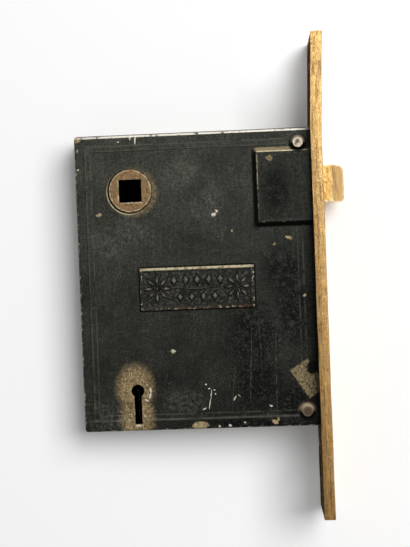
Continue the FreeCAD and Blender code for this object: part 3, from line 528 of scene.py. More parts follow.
@dataclass(frozen=True)
class RolledBrass:
    """Rolled brass plate, left bare and tarnished.

    It gives the eye a warm yellow with brown and pinkish streaks along the rolling, and paler rubbed corners.
    """

    yellow: str = "#b9935a"
    pale: str = "#c8a873"
    shine: str = "#d3a763"
    ember: str = "#bf8c4e"
    pink: str = "#ab805b"
    brown: str = "#6e532d"
    tarnish: str = "#967a4d"
    cream: str = "#ecd6a6"
    # Dark browns: the first for dirty streaks on the narrow sides and for the painted shade on the back, the second for
    # that painted shade alone.
    darkened: str = "#3d2c1c"
    back_shade_pale: str = "#55402b"
    rough: float = 0.4
    screw_height: float = 77.8  # Z of the upper screw hole; the lower one is as far down
    mouth_height: float = 33.5  # Z of the latch's opening

    def make(self, name: str, size: Vector) -> Material:
        """Builds the brass.

        Args:
            name: the material's name.
            size: the plate's thickness, width and length.

        Returns:
            The material.
        """
        coat = Surface(name, Coat(self.yellow, self.rough, 1.0))
        height = coat.add(Kind.VECTOR, "DOT_PRODUCT", {0: coat.place, 1: (0, 0, 1)}, "Value")
        half = size.z / 2
        age = coat.add(Kind.RANGE, None, {"Value": height, "From Min": half * 0.95, "From Max": -half * 1.15})
        broad = coat.area((size.x / 2, 0, 0), (20, size.y / 2 - 0.45, THROUGH), 0.1, 0.01)
        coat.lay(Coat(self.pale, self.rough, 1.0), coat.grain(2.4, 0.4, 0.75, long=8))
        coat.lay(Coat(self.tarnish, 0.5, 1.0), age, 0.8)
        self.wear_edge(coat, coat.other(broad), age, size)
        self.wear_face(coat, broad, size)
        coat.lay(Coat(self.brown, 0.6, 0.8), coat.grain(5.0, 0.58, 0.7, 5), 0.45)
        coat.lift(coat.grain(4.0), 0.06)
        return coat.done()

    def wear_edge(self, coat: Surface, edge: Socket, age: Socket, size: Vector) -> None:
        """Streaks and crusts the plate's long narrow sides.

        Args:
            coat: the material.
            edge: where the narrow sides are.
            age: how tarnished the plate is.
            size: the plate's thickness, width and length.
        """
        coat.lay(Coat(self.pink, 0.5, 1.0), edge, coat.grain(1.6, 0.5, 0.72, long=10), 0.35)
        coat.lay(Coat(self.brown, 0.55, 1.0, -0.02), edge, coat.grain(0.9, 0.52, 0.63, long=13), 0.75)
        coat.lay(Coat(self.shine, 0.4, 1.0, 0.02), edge, coat.grain(0.8, 0.54, 0.62, long=14), 0.6)
        coat.lay(Coat(self.ember, 0.45, 1.0, 0.01), edge, coat.grain(0.75, 0.52, 0.6, long=18), age, 0.8)
        coat.lay(Coat(self.brown, 0.6, 0.9, -0.04), edge, coat.grain(0.5, 0.5, 0.6, 4, 1.8), 0.4)
        flecks, young = coat.grain(0.42, 0.56, 0.66, 2, 1.4), coat.other(age)
        coat.lay(Coat(self.cream, 0.4, 1.0, 0.02), edge, flecks, young, 0.5)
        ridge = coat.area((size.x / 2, 0, 0), (size.x * 0.4, 100, THROUGH), 0.3, 0.25)
        below = coat.add(Kind.MATH, "MULTIPLY_ADD", {0: age, 1: 0.3, 2: 0.15})
        coat.lay(Coat(self.darkened, 0.6, 0.7), edge, coat.other(ridge), below)

    def wear_face(self, coat: Surface, broad: Socket, size: Vector) -> None:
        """Brushes the plate's front, clouds it, dirties its screw holes, and paints shade on its back.

        Args:
            coat: the material.
            broad: where the broad faces are.
            size: the plate's thickness, width and length.
        """
        coat.lay(Coat(self.tarnish, 0.5, 1.0), broad, coat.grain(7.0, 0.38, 0.66, 6), 0.45)
        # Real brush lines lie about 0.1 mm apart; these are as coarse as they need to be to show.
        coat.lay(Coat(self.pale, 0.32, 1.0, 0.004), broad, coat.grain(0.45, 0.45, 0.75, long=40), 0.35)
        mouth = coat.area((size.x, 0, self.mouth_height), (2, 10, 15), 2.5, 0.6, Outline.ROUND)
        coat.lay(Coat(self.pale, 0.3, 1.0), broad, mouth, 0.5)
        holes = coat.either(
            *(
                coat.area((size.x, 0, side * self.screw_height), (5, 5.6, 5.6), 0.5, 0.2, Outline.ROUND)
                for side in (1, -1)
            )
        )
        coat.lay(Coat(self.brown, 0.6, 0.8), broad, holes, coat.grain(1.2), 0.6)
        # Painted shade on the plate's back, turned away from the light, and on the back of its sprung end.
        back = coat.either(
            coat.area((0, 0, 0), (0.9, 100, THROUGH), soft=0.2),
            coat.area((0.75, 0, 72.0), (0.9, 100, 16), soft=0.2, turn=2.2),
        )
        back_shade = coat.tint(coat.grain(3.0, 0.3, 0.6, 5), self.darkened, self.back_shade_pale)
        coat.lay(Coat(back_shade, 0.9, gloss=0.0), back, broad)


@dataclass(frozen=True)
class CastBrass:
    """Cast brass, rubbed bright by use.

    It gives the eye a light yellow, blotched with ochre where hands and the keeper don't rub it, with painted light on
    the bevel and a band of painted shade behind it.
    """

    yellow: str = "#d3ad6c"
    ochre: str = "#a67d42"
    olive: str = "#5d4a26"
    bright: str = "#e6b968"
    cream: str = "#fae3b0"
    rough: float = 0.38

    def make(self, name: str, rubbed: Vector) -> Material:
        """Builds the brass.

        Args:
            name: the material's name.
            rubbed: the middle of the end that the keeper rubs bright, where the bevel is also painted lighter as
                painted light.

        Returns:
            The material.
        """
        coat = Surface(name, Coat(self.yellow, self.rough, 1.0))
        coat.lay(Coat(self.ochre, 0.5, 1.0), coat.grain(2.2, 0.42, 0.6, 5, 2), 0.7)
        coat.lay(Coat(self.olive, 0.6, 0.9, -0.03), coat.grain(0.8, 0.58, 0.7), 0.6)
        # The bevel is painted bright: rubbing by the keeper, and painted light that evens it with the flat behind it.
        bevel = coat.area(rubbed, (3.6, 20.0, 20.0), 0.4)
        coat.lay(Coat(self.bright, 0.45, 1.0), bevel, coat.grain(2.6, 0.3, 0.55, 4, 2), 0.8)
        inner = coat.area(rubbed - Vector((9.4, 0, 0)), (8.5, 20.0, 6.0), 0.25, 0.03)
        coat.lay(Coat(self.cream, 0.35, 1.0), coat.other(inner), coat.grain(1.5), 0.6)
        # A thin darker ochre band just behind the bevel: painted shade.
        shade_band = coat.area(rubbed - Vector((4.0, 0, -1.5)), (0.45, 20.0, 5.0), 0.8, 0.6, turn=-14)
        coat.lay(Coat(self.ochre, 0.5, 1.0), shade_band, coat.grain(1.5, 0.3, 0.5), 0.75)
        coat.lift(coat.grain(1.2), 0.05)
        return coat.done()


@dataclass(frozen=True)
class DullBronze:
    """Cast bronze, turned on its face and dulled to brown.

    It gives the eye a matte tan, mottled green and brown, with pale rubbed corners round the square and the rim.
    """

    tan: str = "#92714b"
    green: str = "#74633d"
    brown: str = "#4c3722"
    cream: str = "#d6c4a2"

    def make(self, name: str, hub: "Hub") -> Material:
        """Builds the bronze, worn pale round the hub's square hole and its rim, with painted shade on the hole's walls.

        Args:
            name: the material's name.
            hub: the hub that it dresses.

        Returns:
            The material.
        """
        coat = Surface(name, Coat(self.tan, 0.55, 0.55))
        coat.lay(Coat(self.green, 0.6, 0.5), coat.grain(2.8, 0.4, 0.65, 5), 0.75)
        coat.lay(Coat(self.brown, 0.65, 0.45, -0.03), coat.grain(0.75, 0.48, 0.64), 0.7)
        coat.lay(Coat(self.cream, 0.5, 0.5, 0.02), coat.grain(0.5, 0.58, 0.7), 0.4)
        x, _, z = hub.axis
        inner, outer, deep = hub.square / 2, hub.radius - 0.35, 30.0
        lip = coat.area((x - 0.15, 0, z - 0.1), (inner + 0.4, deep, inner + 0.4), 0.2, 0.04)
        coat.lay(Coat(self.cream, 0.4, 0.6), lip, coat.grain(1.5, 0.4, 0.58))
        face = coat.area((x, 0, z), (outer, deep, outer), 0.08, 0.015, Outline.ROUND)
        coat.lay(Coat(self.cream, 0.4, 0.6), coat.other(face), coat.grain(2.0, 0.4, 0.55), 0.6)
        # Painted shade on the walls of the square hole.
        coat.lay(PAINTED_SHADE, coat.area((x, 0, z), (inner + 0.12, WALL + 0.1, inner + 0.12), soft=0.01))
        coat.lift(coat.grain(0.7), 0.05)
        return coat.done()


@dataclass(frozen=True)
class WroughtSteel:
    """Wrought steel with a thin brown oxide.

    It gives the eye a warm grey, polished where pieces rub and freckled brown where they don't.
    """

    grey: str = "#a39a8c"
    brown: str = "#5c4c3c"
    # The crescent on a rivet's head: rubbed metal, and a painted highlight besides.
    rubbed: str = "#e6dcc8"
    skirt: str = "#857b6a"  # the foot of a rivet's head, where it is lit
    rough: float = 0.35

    def make(self, name: str, pit: Vector | None = None) -> Material:
        """Builds the steel.

        Args:
            name: the material's name.
            pit: the middle of a rivet, for one with a darkened middle to its head and a skirt painted lit above and
                shaded below.

        Returns:
            The material.
        """
        coat = Surface(name, Coat(self.grey, self.rough, 1.0))
        coat.lay(Coat(self.brown, 0.6, 0.5, -0.02), coat.grain(1.4, 0.42, 0.62, 5), 0.75)
        if pit:
            self.wear_rivet(coat, pit)
        coat.lift(coat.grain(0.5), 0.03)
        return coat.done()

    def wear_rivet(self, coat: Surface, pit: Vector) -> None:
        """Lays a pale crescent on a rivet's head, partly rubbed and partly a painted highlight, dirties its middle and
        paints its skirt lit above and shaded below.

        Args:
            coat: the material.
            pit: the middle of the rivet.
        """
        top, unrubbed, darkened, head, lit_side = (
            Mark(pit.x + right, pit.z + up, half_across, half_up).on(coat, pit.y, 30.0, ragged, soft)
            for right, up, half_across, half_up, ragged, soft in (
                (0, 0, 1.85, 1.85, 0.1, 0.06),
                (0.2, -0.25, 1.4, 1.4, 0.1, 0.12),
                (-0.2, 0.3, 0.8, 0.6, 0.3, 0.4),
                (0, 0, 1.85, 1.85, 0.1, 0.08),
                (0, 2.6, 4.0, 2.9, 0.2, 0.3),
            )
        )
        # The crescent: rubbed metal and a painted highlight.
        coat.lay(Coat(self.rubbed, 0.4, 0.9), top, coat.other(unrubbed), 0.8)
        coat.lay(Coat(self.brown, 0.6, 0.3), darkened, 0.85)
        # The skirt gets painted light on its upper side and painted shade below.
        skirt = coat.other(head)
        coat.lay(Coat(self.skirt, 0.6, 0.2), skirt)
        coat.lay(Coat("#0a0806", 0.8, gloss=0.1), skirt, coat.other(lit_side))


# The same steel rubbed pale on the upper rivet, browned on the lower one, and dark with old grease inside the case.
WORN = WroughtSteel("#b0a48e", "#4f463a", "#b3a894", "#8d8371", 0.4)
BROWNED = WroughtSteel("#5a4a3b", "#41352a", "#6b5b48", "#b9a98c", 0.5)
GREASED = WroughtSteel("#4a433a", "#211c17", rough=0.5)


@dataclass(frozen=True)
class BluedSteel:
    """Spring steel, tempered blue and then browned by age, which gives the eye a dark slate grey."""

    blue: str = "#3c4048"
    straw: str = "#6b5a42"

    def make(self, name: str) -> Material:
        """Builds the spring steel.

        Args:
            name: the material's name.

        Returns:
            The material.
        """
        coat = Surface(name, Coat(self.blue, 0.32, 1.0))
        coat.lay(Coat(self.straw, 0.45, 0.9), coat.grain(2.0), 0.6)
        return coat.done()


def dress(material: Material, *nodes: str) -> None:
    """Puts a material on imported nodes.

    Args:
        material: what they are finished in.
        nodes: their names.
    """
    for node in nodes:
        slots = frame["nodes"][node].data.materials
        slots.clear()
        slots.append(material)
        log.info("dressed %s in %s", node, material.name)


def box_of(node: str) -> tuple[Vector, Vector]:
    """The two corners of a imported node's box, in millimetres."""
    low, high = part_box(node)
    return low * METRE, high * METRE


def middle_of(node: str) -> Vector:
    """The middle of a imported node's box, in millimetres."""
    low, high = box_of(node)
    return (low + high) / 2


def end_of(node: str) -> Vector:
    """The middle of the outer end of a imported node's box, in millimetres."""
    middle = middle_of(node)
    return Vector((box_of(node)[1].x, middle.y, middle.z))


def mount(name: str) -> Vector:
    """The place of one of the record's mounts, in millimetres."""
    place = next(m["pos_m"] for m in frame["record"]["mounts"] if m["name"] == name)
    return Vector(place) * METRE


def link_mesh(name: str, mesh: Mesh, material: Material | None = None) -> bpy.types.Object:
    """Makes a piece of a mesh that is already in metres and in place.

    Args:
        name: the piece's name.
        mesh: its mesh.
        material: its finish, where the mesh has none yet.

    Returns:
        The piece, at the origin.
    """
    if material:
        mesh.materials.clear()
        mesh.materials.append(material)
    piece = bpy.data.objects.new(name, mesh)
    bpy.context.scene.collection.objects.link(piece)
    return piece


def smooth(mesh: Mesh, sharp: float) -> None:
    """Shades a mesh smooth, but for edges that turn more than an angle in degrees."""
    mesh.polygons.foreach_set("use_smooth", [True] * len(mesh.polygons))
    mesh.set_sharp_from_angle(angle=math.radians(sharp))


def reshape(
    node: str, name: str, cuts: list[tuple[Place, Place]], near: float, shift: Callable[[Vector], Vector], sharp: float
) -> Mesh:
    """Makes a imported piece's mesh again, cut finer and then moved point by point.

    Args:
        node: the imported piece.
        name: the new mesh's name.
        cuts: a point and the direction of each cut.
        near: how near a point lies to a cut that passes through it, in metres.
        shift: how far a point moves, from where it is.
        sharp: the angle in degrees from which an edge stays sharp.

    Returns:
        The new mesh, in metres.
    """
    shape = bmesh.new()
    shape.from_mesh(frame["nodes"][node].data)
    bmesh.ops.remove_doubles(shape, verts=shape.verts, dist=1e-6)
    for place, normal in cuts:
        everything = shape.verts[:] + shape.edges[:] + shape.faces[:]
        at = [p / METRE for p in place]
        bmesh.ops.bisect_plane(shape, geom=everything, plane_co=at, plane_no=normal, dist=near)
    for vertex in shape.verts:
        vertex.co += shift(vertex.co * METRE) / METRE
    mesh = bpy.data.meshes.new(name)
    shape.to_mesh(mesh)
    shape.free()
    smooth(mesh, sharp)
    return mesh


class Form(Tree):
    """A geometry-nodes tree that makes a form which repeats, and turns it into a plain mesh."""

    # The type of socket that holds each type of value.
    sockets = {int: "NodeSocketInt", float: "NodeSocketFloat", Vector: "NodeSocketVector"}

    def __init__(self, name: str, inputs: dict[str, int | float | Vector]) -> None:
        """Starts the tree with its named inputs.

        Args:
            name: the tree's name.
            inputs: each input's name and value.
        """
        self.name = name
        self.values = inputs
        super().__init__(bpy.data.node_groups.new(name, "GeometryNodeTree"))
        for key, value in inputs.items():
            self.tree.interface.new_socket(key, in_out="INPUT", socket_type=self.sockets[type(value)])
        self.tree.interface.new_socket("Geometry", in_out="OUTPUT", socket_type="NodeSocketGeometry")
        group = self.tree.nodes.new("NodeGroupInput")
        self.given = {key: group.outputs[key] for key in inputs}

    def mesh(self, made: Socket, material: Material) -> Mesh:
        """Closes the tree and evaluates it once.

        Args:
            made: the geometry that the tree has made.
            material: its finish.

        Returns:
            A plain mesh, in metres.
        """
        real = self.add(Kind.REALIZE, None, {"Geometry": made})
        finished = self.add(Kind.FINISH, None, {"Geometry": real, "Material": material})
        self.tree.links.new(finished, self.tree.nodes.new("NodeGroupOutput").inputs[0])
        holder = link_mesh(self.name, bpy.data.meshes.new(self.name))
        modifier = holder.modifiers.new(self.name, "NODES")
        modifier.node_group = self.tree
        for item in self.tree.interface.items_tree:
            if item.in_out == "INPUT":
                modifier[item.identifier] = self.values[item.name]
        evaluated = holder.evaluated_get(bpy.context.evaluated_depsgraph_get())
        mesh = bpy.data.meshes.new_from_object(evaluated)
        bpy.data.objects.remove(holder)
        return mesh


def join(name: str, meshes: list[Mesh], material: Material) -> Mesh:
    """Joins meshes of one material into one mesh.

    Args:
        name: the new mesh's name.
        meshes: what it is joined from.
        material: their finish.

    Returns:
        The new mesh.
    """
    whole = bmesh.new()
    for mesh in meshes:
        whole.from_mesh(mesh)
    joined = bpy.data.meshes.new(name)
    for face in whole.faces:
        face.material_index = 0
    whole.to_mesh(joined)
    whole.free()
    joined.materials.append(material)
    return joined


TABLET = Mark(-42.7, -2.5, 20.7, 7.65)  # the raised tablet's place and half size on the broad face


@dataclass(frozen=True)
class Bosses:
    """A row or a ring of four-sided bosses on the tablet.

    Attributes:
        start: X and Z of the first boss, or of the middle of a ring, from the tablet's middle.
        size: a boss's length and width.
        count: how many there are.
        step: X from one boss to the next.
        turn: how far each is turned from the one before, in degrees.
        reach: how far from its own turning centre a boss lies.
        foot: Y of the field that they stand on.
        rise: their height.
    """

    start: tuple[float, float]
    size: tuple[float, float]
    count: int = 1
    step: float = 0.0
    turn: float = 0.0
    reach: float = 0.0
    foot: float = SUNK
    rise: float = 0.6

    def mesh(self, material: Material) -> Mesh:
        """Makes the bosses.

        Args:
            material: their finish.

        Returns:
            All of them as one mesh.
        """
        place = Vector((TABLET.across + self.start[0], self.foot, TABLET.up + self.start[1]))
        form = Form(
            "ornament_row",
            {
                "Count": self.count,
                "Start": place / METRE,
                "Step": Vector((self.step, 0, 0)) / METRE,
                "Turn": math.radians(self.turn),
                "Reach": self.reach / METRE,
                "Length": self.size[0] / 2 / METRE,
                "Width": self.size[1] / 2 / METRE,
                "Rise": self.rise / METRE,
            },
        )
        given = form.given
        pyramid = {"Vertices": 4, "Side Segments": 3, "Radius Top": 0.35, "Radius Bottom": 1.0, "Depth": given["Rise"]}
        boss = form.add(Kind.CONE, None, pyramid)
        squeeze = form.add(Kind.JOIN, None, {0: given["Length"], 1: given["Width"], 2: 1.0})
        away = form.add(Kind.JOIN, None, {0: given["Reach"]})
        boss = form.add(Kind.TRANSFORM, None, {"Geometry": boss, "Scale": squeeze, "Translation": away})
        spread = {"Count": given["Count"], "Start Location": given["Start"], "Offset": given["Step"]}
        line = form.add(Kind.LINE, {"mode": "OFFSET"}, spread)
        turned = form.add(Kind.MATH, "MULTIPLY", {0: form.add(Kind.INDEX), 1: given["Turn"]})
        stand = form.add(Kind.JOIN, None, {0: math.radians(90.0), 1: turned})
        placed = form.add(Kind.INSTANCES, None, {"Points": line, "Instance": boss, "Rotation": stand})
        return form.mesh(placed, material)


@dataclass
class Casing:
    """The cast case, its cap with two screws, and the rivets that hold the faceplate's lugs.

    The marks are where age has left them on the broad face, but for the rings of painted shade round the rivets. The
    ornament is two rayed stars, two rows of lozenges and a bar.

    Attributes:
        finish: the japan on the case and the cap.
        chips: where the japan is knocked off.
        splashes: specks and runs of whitish paint.
        hairlines: long thin scratches, wider than real so that they show.
        clouds: whitish scuffed places.
        blackened: places that kept their black.
        bare_patch: the bare corner beside the lower rivet.
        patch_bite: the sound japan that cuts into it.
        rivet_seat: the worn seat of the lower rivet.
        rivet_shade_rings: rings of painted shade round both rivets.
        cap_chips: where the cap's japan is knocked off.
        tablet_rise: how far the tablet's rim stands above the broad face.
        boss_rise: the same for the boss over the latch.
        ornament: the bosses on the tablet.
    """

    finish: JapannedIron = JapannedIron()
    chips: tuple[Mark, ...] = marks(
        (-77.5, 25.2, 1.1, 0.55, -15), (-29.4, 17.5, 0.4, 0.5), (-52.6, -25.5, 0.9, 0.5, 20),
        (-9.0, 14.4, 1.3, 0.6, 10), (-14.2, 12.2, 0.7, 0.3, -40), (-3.9, -6.7, 0.7, 0.45, -20),
        (-15.0, 43.2, 1.1, 1.0), (-43.5, -52.7, 3.0, 1.5, -4), (-16.3, -52.1, 1.2, 0.8, 25),
        (-15.1, -51.2, 0.5, 0.8, 10), (-84.8, 53.2, 1.6, 1.3, 40),
    )
    splashes: tuple[Mark, ...] = marks(
        (-35.8, 23.7, 0.9, 0.65, -20), (-34.8, 24.9, 0.55, 0.55), (-52.2, -25.2, 0.9, 0.45, 15),
        (-65.2, 53.0, 0.35, 1.1), (-63.3, 52.0, 0.3, 1.8, 4), (-84.6, 41.9, 0.35, 0.3), (-84.6, 48.8, 0.3, 0.5),
        (-69.5, 51.4, 0.4, 0.25), (-39.15, -41.4, 0.17, 1.7, 6), (-39.75, -45.0, 0.17, 1.9, 11),
        (-41.7, -46.6, 0.8, 0.26, -25), (-39.8, -39.3, 0.35, 0.25, -30), (-37.9, -39.9, 0.3, 0.22),
        (-37.6, -41.3, 0.22, 0.35), (-40.9, -37.8, 0.4, 0.2, 20), (-30.55, -43.1, 0.28, 0.95, 28),
        (-29.0, -42.2, 0.1, 0.7, -38), (-36.5, -53.2, 0.35, 0.45), (-32.6, -53.1, 0.6, 0.5, 40),
        (-27.3, -52.0, 0.35, 0.3), (-17.5, -46.3, 0.7, 0.3, 15), (-61.2, -39.2, 0.35, 0.9, -8),
        (-61.4, -41.2, 0.4, 1.1, 12), (-62.6, -42.9, 0.8, 0.35, 25), (-65.9, -52.0, 1.3, 0.32),
    )
    hairlines: tuple[Mark, ...] = marks(
        (-24.2, -30.0, 0.12, 14.0, 3), (-20.6, -24.0, 0.1, 9.0, -2), (-15.2, -33.0, 0.14, 15.0, 1),
        (-31.0, -40.0, 0.1, 8.0, 6), (-37.1, 29.3, 0.15, 2.8, -40), (-69.5, -30.0, 0.12, 4.0, 80),
    )
    clouds: tuple[Mark, ...] = marks(
        (-46.5, 39.0, 7.0, 5.0, -30), (-66.0, 19.0, 9.0, 4.5, 20), (-74.0, 14.0, 6.0, 6.0),
        (-38.0, 27.0, 5.0, 7.0, 30), (-16.0, -20.0, 7.0, 9.0), (-12.0, -50.0, 9.0, 3.0),
        (-76.0, -49.0, 9.5, 6.0), (-49.0, -44.0, 8.0, 4.5),
    )
    blackened: tuple[Mark, ...] = marks(
        (-23.0, -20.0, 10.0, 12.0), (-22.0, -38.0, 9.0, 9.0), (-8.0, -12.0, 7.0, 12.0), (-11.0, 2.5, 7.5, 9.5),
        (-9.0, -46.0, 9.0, 7.0), (-13.0, 32.0, 5.0, 8.0), (-24.0, -52.6, 22.0, 1.9),
    )
    bare_patch: Mark = Mark(-3.7, -36.8, 3.8, 6.1, -33)
    patch_bite: Mark = Mark(-2.3, -32.8, 2.2, 2.5, 20)
    rivet_seat: Mark = Mark(-4.5, -48.0, 3.2, 2.7)
    rivet_shade_rings: tuple[Mark, ...] = marks((-4.6, 48.1, 3.3, 3.3), (-4.6, -49.2, 3.1, 3.0))
    cap_chips: tuple[Mark, ...] = marks((-31, -20, 1.6, 1.0, 30), (-58, 12, 0.9, 1.2), (-22, -44, 1.2, 0.8))
    tablet_rise: float = 0.9
    boss_rise: float = 2.2
    ornament: tuple[Bosses, ...] = (
        Bosses((-14.6, 0), (5.4, 1.9), 8, turn=45.0, reach=3.2),
        Bosses((-14.6, 0), (1.3, 1.3)),
        Bosses((14.6, 0), (5.4, 1.9), 8, turn=45.0, reach=3.2),
        Bosses((14.6, 0), (1.3, 1.3)),
        Bosses((-8.4, 2.9), (3.0, 4.6), 5, 4.2),
        Bosses((-6.3, -3.2), (2.8, 4.0), 4, 4.2),
        Bosses((0, -0.2), (19.0, 0.9)),
    )

    def __post_init__(self) -> None:
        """Reads the case's size and its holes from the frame."""
        self.low, self.high = box_of("case")
        self.half = -self.low.x / 2
        self.key = mount("key_stem_hole")
        self.spindle = mount("spindle_square")

    def front(
        self, coat: Surface, mark: Mark, ragged: float, soft: float = 0.15, outline: Outline = Outline.ROUND
    ) -> Socket:
        """A mark on the broad face, the boss and the tablet."""
        return mark.on(coat, FACE - 1.0, THROUGH if outline is Outline.SQUARE else 6.0, ragged, soft, outline)

    def fronts(self, coat: Surface, several: tuple[Mark, ...], ragged: float, soft: float) -> Socket:
        """Several marks on the broad face as one mask."""
        return coat.either(*(self.front(coat, mark, ragged, soft) for mark in several))

    def case_material(self) -> Material:
        """Builds the japan of the case with all its wear, and with painted shade and highlights.

        Returns:
            The material.
        """
        iron, coat = self.finish, self.finish.start("japanned_iron_case")
        iron.cloud(coat, self.fronts(coat, self.clouds, 2.0, 0.6))
        black = self.fronts(coat, self.blackened, 3.0, 0.6)
        coat.lay(iron.paint(iron.soot, 0.35), black, coat.grain(2.2, 0.3, 0.5, 5), 0.9)
        coat.lay(iron.paint(iron.scuff, 0.5, 0.03), black, coat.grain(0.55, 0.56, 0.68, 3), 0.2)
        coat.lay(iron.paint(iron.scuff, 0.6), self.fronts(coat, self.hairlines, 0.15, 0.5), coat.grain(2.0), 0.35)
        x, z = self.key.x, self.key.z
        iron.rub(coat, self.fronts(coat, marks((x - 0.9, z + 1.0, 6.3, 8.0), (x - 0.4, z - 10.0, 5.7, 8.6)), 1.3, 0.35))
        x, z = self.spindle.x, self.spindle.z
        iron.rub(coat, self.front(coat, Mark(x + 1.0, z - 0.6, 8.8, 8.7), 0.9), 0.45)
        rust = coat.tint(coat.grain(0.8, 0.38, 0.62, 4), "#4a3f2e", "#988866")
        coat.lay(iron.paint(rust, 0.7), self.front(coat, self.bare_patch, 0.7, 0.06, Outline.SQUARE))
        coat.lay(iron.paint(iron.black, 0.5), self.front(coat, self.patch_bite, 0.8))
        iron.chip(coat, coat.both(self.fronts(coat, self.chips, 0.75, 0.15), coat.grain(0.8, 0.34, 0.44)))
        iron.splash(coat, coat.both(self.fronts(coat, self.splashes, 0.25, 0.25), coat.grain(0.9, 0.34, 0.46)))
        self.wear_edges(coat)
        self.wear_boss(coat)
        self.wear_tablet(coat)
        self.ring_hub(coat)
        self.line_moulding(coat)
        coat.lay(iron.paint("#6b5c48", 0.6), self.front(coat, self.rivet_seat, 0.2))
        # Painted shade in rings round both rivets.
        coat.lay(iron.paint("#050504", 0.6), self.fronts(coat, self.rivet_shade_rings, 0.15, 0.12), 0.92)
        # Painted shade on the walls of the holes through the case.
        coat.lay(PAINTED_SHADE, coat.area((-self.half, 0, 0), (self.half - 0.6, WALL, self.high.z - 0.6), soft=0.005))
        return coat.done()

    def wear_edges(self, coat: Surface) -> None:
        """Paints a highlight along the case's top edge and rubs its rear and bottom edges.

        Args:
            coat: the material.
        """
        # A painted highlight: a thin pale line along the case's top edge.
        top = coat.area((-self.half, FACE + 0.2, self.high.z - 0.72), (self.half, 0.8, 0.36), 0.12, 0.25)
        coat.lay(Coat("#f0eadb", 0.3, 0.3), top, coat.grain(2.2, 0.27, 0.44))
        rear = coat.area((self.low.x, FACE, 0), (0.6, 0.6, self.high.z), 0.1, 0.3)
        bottom = coat.area((-self.half, FACE, self.low.z), (self.half, 0.5, 0.5), 0.1, 0.3)
        self.finish.brighten(coat, coat.either(rear, bottom), 1.0, 0.52)

    def line_moulding(self, coat: Surface) -> None:
        """Rubs the moulding's crest, most along the bottom.

        Args:
            coat: the material.
        """
        crest = self.finish.paint(self.finish.scuff, 0.4)
        half, high, centre = self.half, self.high.z, (-self.half, FACE, 0)
        bottom = coat.area((-half, FACE, -50.1), (half - 4.0, 4.0, 0.45), 0.1, 0.3)
        coat.lay(crest, bottom, coat.grain(5.0, 0.3, 0.55), 0.16)
        for inset, width in ((3.7, 0.6), (5.6, 0.5)):
            within = inset + width
            outer = coat.area(centre, (half - inset, 0.6, high - inset), 0.05, 0.004)
            inner = coat.area(centre, (half - within, 4.0, high - within), 0.05, 0.004)
            coat.lay(crest, outer, coat.other(inner), coat.grain(6.0, 0.38, 0.55), 0.13)

    def wear_boss(self, coat: Surface) -> None:
        """Blackens the boss's top, paints shade at the foot of its rear and lower sides, paints its upper slope pale,
        partly worn and partly as painted light, and lays pale lines on its edges.

        Args:
            coat: the material.
        """
        iron, top = self.finish, FACE - self.boss_rise
        black = coat.area((-9.5, top, 33.0), (9.4, 0.4, 12.2), 0.4, 0.05)
        coat.lay(iron.paint(iron.black, 0.45), black, coat.grain(1.2, 0.25, 0.6, 5), 0.55)
        # Painted shade at the foot of the boss's rear and lower sides, which face away from the light.
        shaded_feet = coat.either(
            coat.area((-20.5, top + 1.1, 32.5), (0.9, 1.3, 14.0), 0.15, 0.2),
            coat.area((-10.0, top + 1.1, 19.4), (11.5, 1.3, 1.0), 0.15, 0.2),
        )
        coat.lay(iron.paint(iron.soot, 0.5), shaded_feet, 0.85)
        # The upper slope is painted pale: partly worn japan and partly painted light.
        slope = coat.area((-13.5, top + 1.2, 46.4), (6.6, 1.6, 0.75), 0.15, 0.15)
        coat.lay(iron.paint("#9a8a6c", 0.55), slope, coat.grain(2.5, 0.25, 0.45))
        # Pale lines on the edges: a painted highlight along the top, partly painted highlight and partly rubbing down
        # the rear, rubbing along the bottom.
        for centre, half, low, share in (
            ((-11.3, top, 45.7), (8.7, 0.3, 0.3), 0.3, 1.0),
            ((-19.5, top, 39), (0.25, 0.4, 7), 0.4, 0.5),
            ((-19.5, top, 28), (0.2, 0.4, 8), 0.5, 0.22),
            ((-10, top, 20.2), (10, 0.3, 0.2), 0.55, 0.2),
        ):
            iron.brighten(coat, coat.area(centre, half, 0.08, 0.3), 1.4, low, share)

    def wear_tablet(self, coat: Surface) -> None:
        """Blackens the tablet's field, paints shade round the foot of its rim, and rubs the rim, most along its top,
        where the pale line is also a painted highlight.

        Args:
            coat: the material.
        """
        iron, rim = self.finish, FACE - self.tablet_rise
        x, z, half, half_up = TABLET.across, TABLET.up, TABLET.half_across, TABLET.half_up
        ground = coat.area((x, SUNK, z), (half - 1.4, 0.12, half_up - 1.4))
        coat.lay(iron.paint(iron.black, 0.35), ground, coat.grain(1.4, 0.3, 0.6, 4), 0.6)
        coat.lay(iron.paint(iron.scuff, 0.5, 0.04), ground, coat.grain(0.9, 0.5, 0.68, 4), 0.25)
        # A ring of painted shade round the foot of the tablet's rim.
        outer, inner = (
            coat.area((x, FACE, z), (half + past, 0.5, half_up + past), 0.05, 0.01) for past in (0.6, 0.0)
        )
        coat.lay(iron.paint("#040404", 0.6), outer, coat.other(inner), 0.85)
        # The rim is paler along its top than its bottom: rubbing, and a painted highlight where it faces the light.
        for side, low, share in ((1, 0.28, 0.9), (-1, 0.54, 0.6)):
            edge = coat.area((x, rim, z + side * half_up * 0.94), (half, 0.5, 0.42), 0.12, 0.25)
            iron.brighten(coat, edge, 1.2, low, share)
            coat.lay(iron.paint("#5a3a2a", 0.6), edge, coat.grain(1.7, 0.52, 0.6), 0.6)
        ends = (coat.area((x + side * (half - 0.4), rim, z), (0.4, 0.5, half_up), 0.12, 0.3) for side in (-1, 1))
        iron.brighten(coat, coat.either(*ends), 0.9, 0.55)

    def ring_hub(self, coat: Surface) -> None:
        """Paints shade in the gap round the hub, and a pale line on the lip outside it, most at its lower rear: rubbing
        and a painted highlight.

        Args:
            coat: the material.
        """
        x, z = self.spindle.x, self.spindle.z
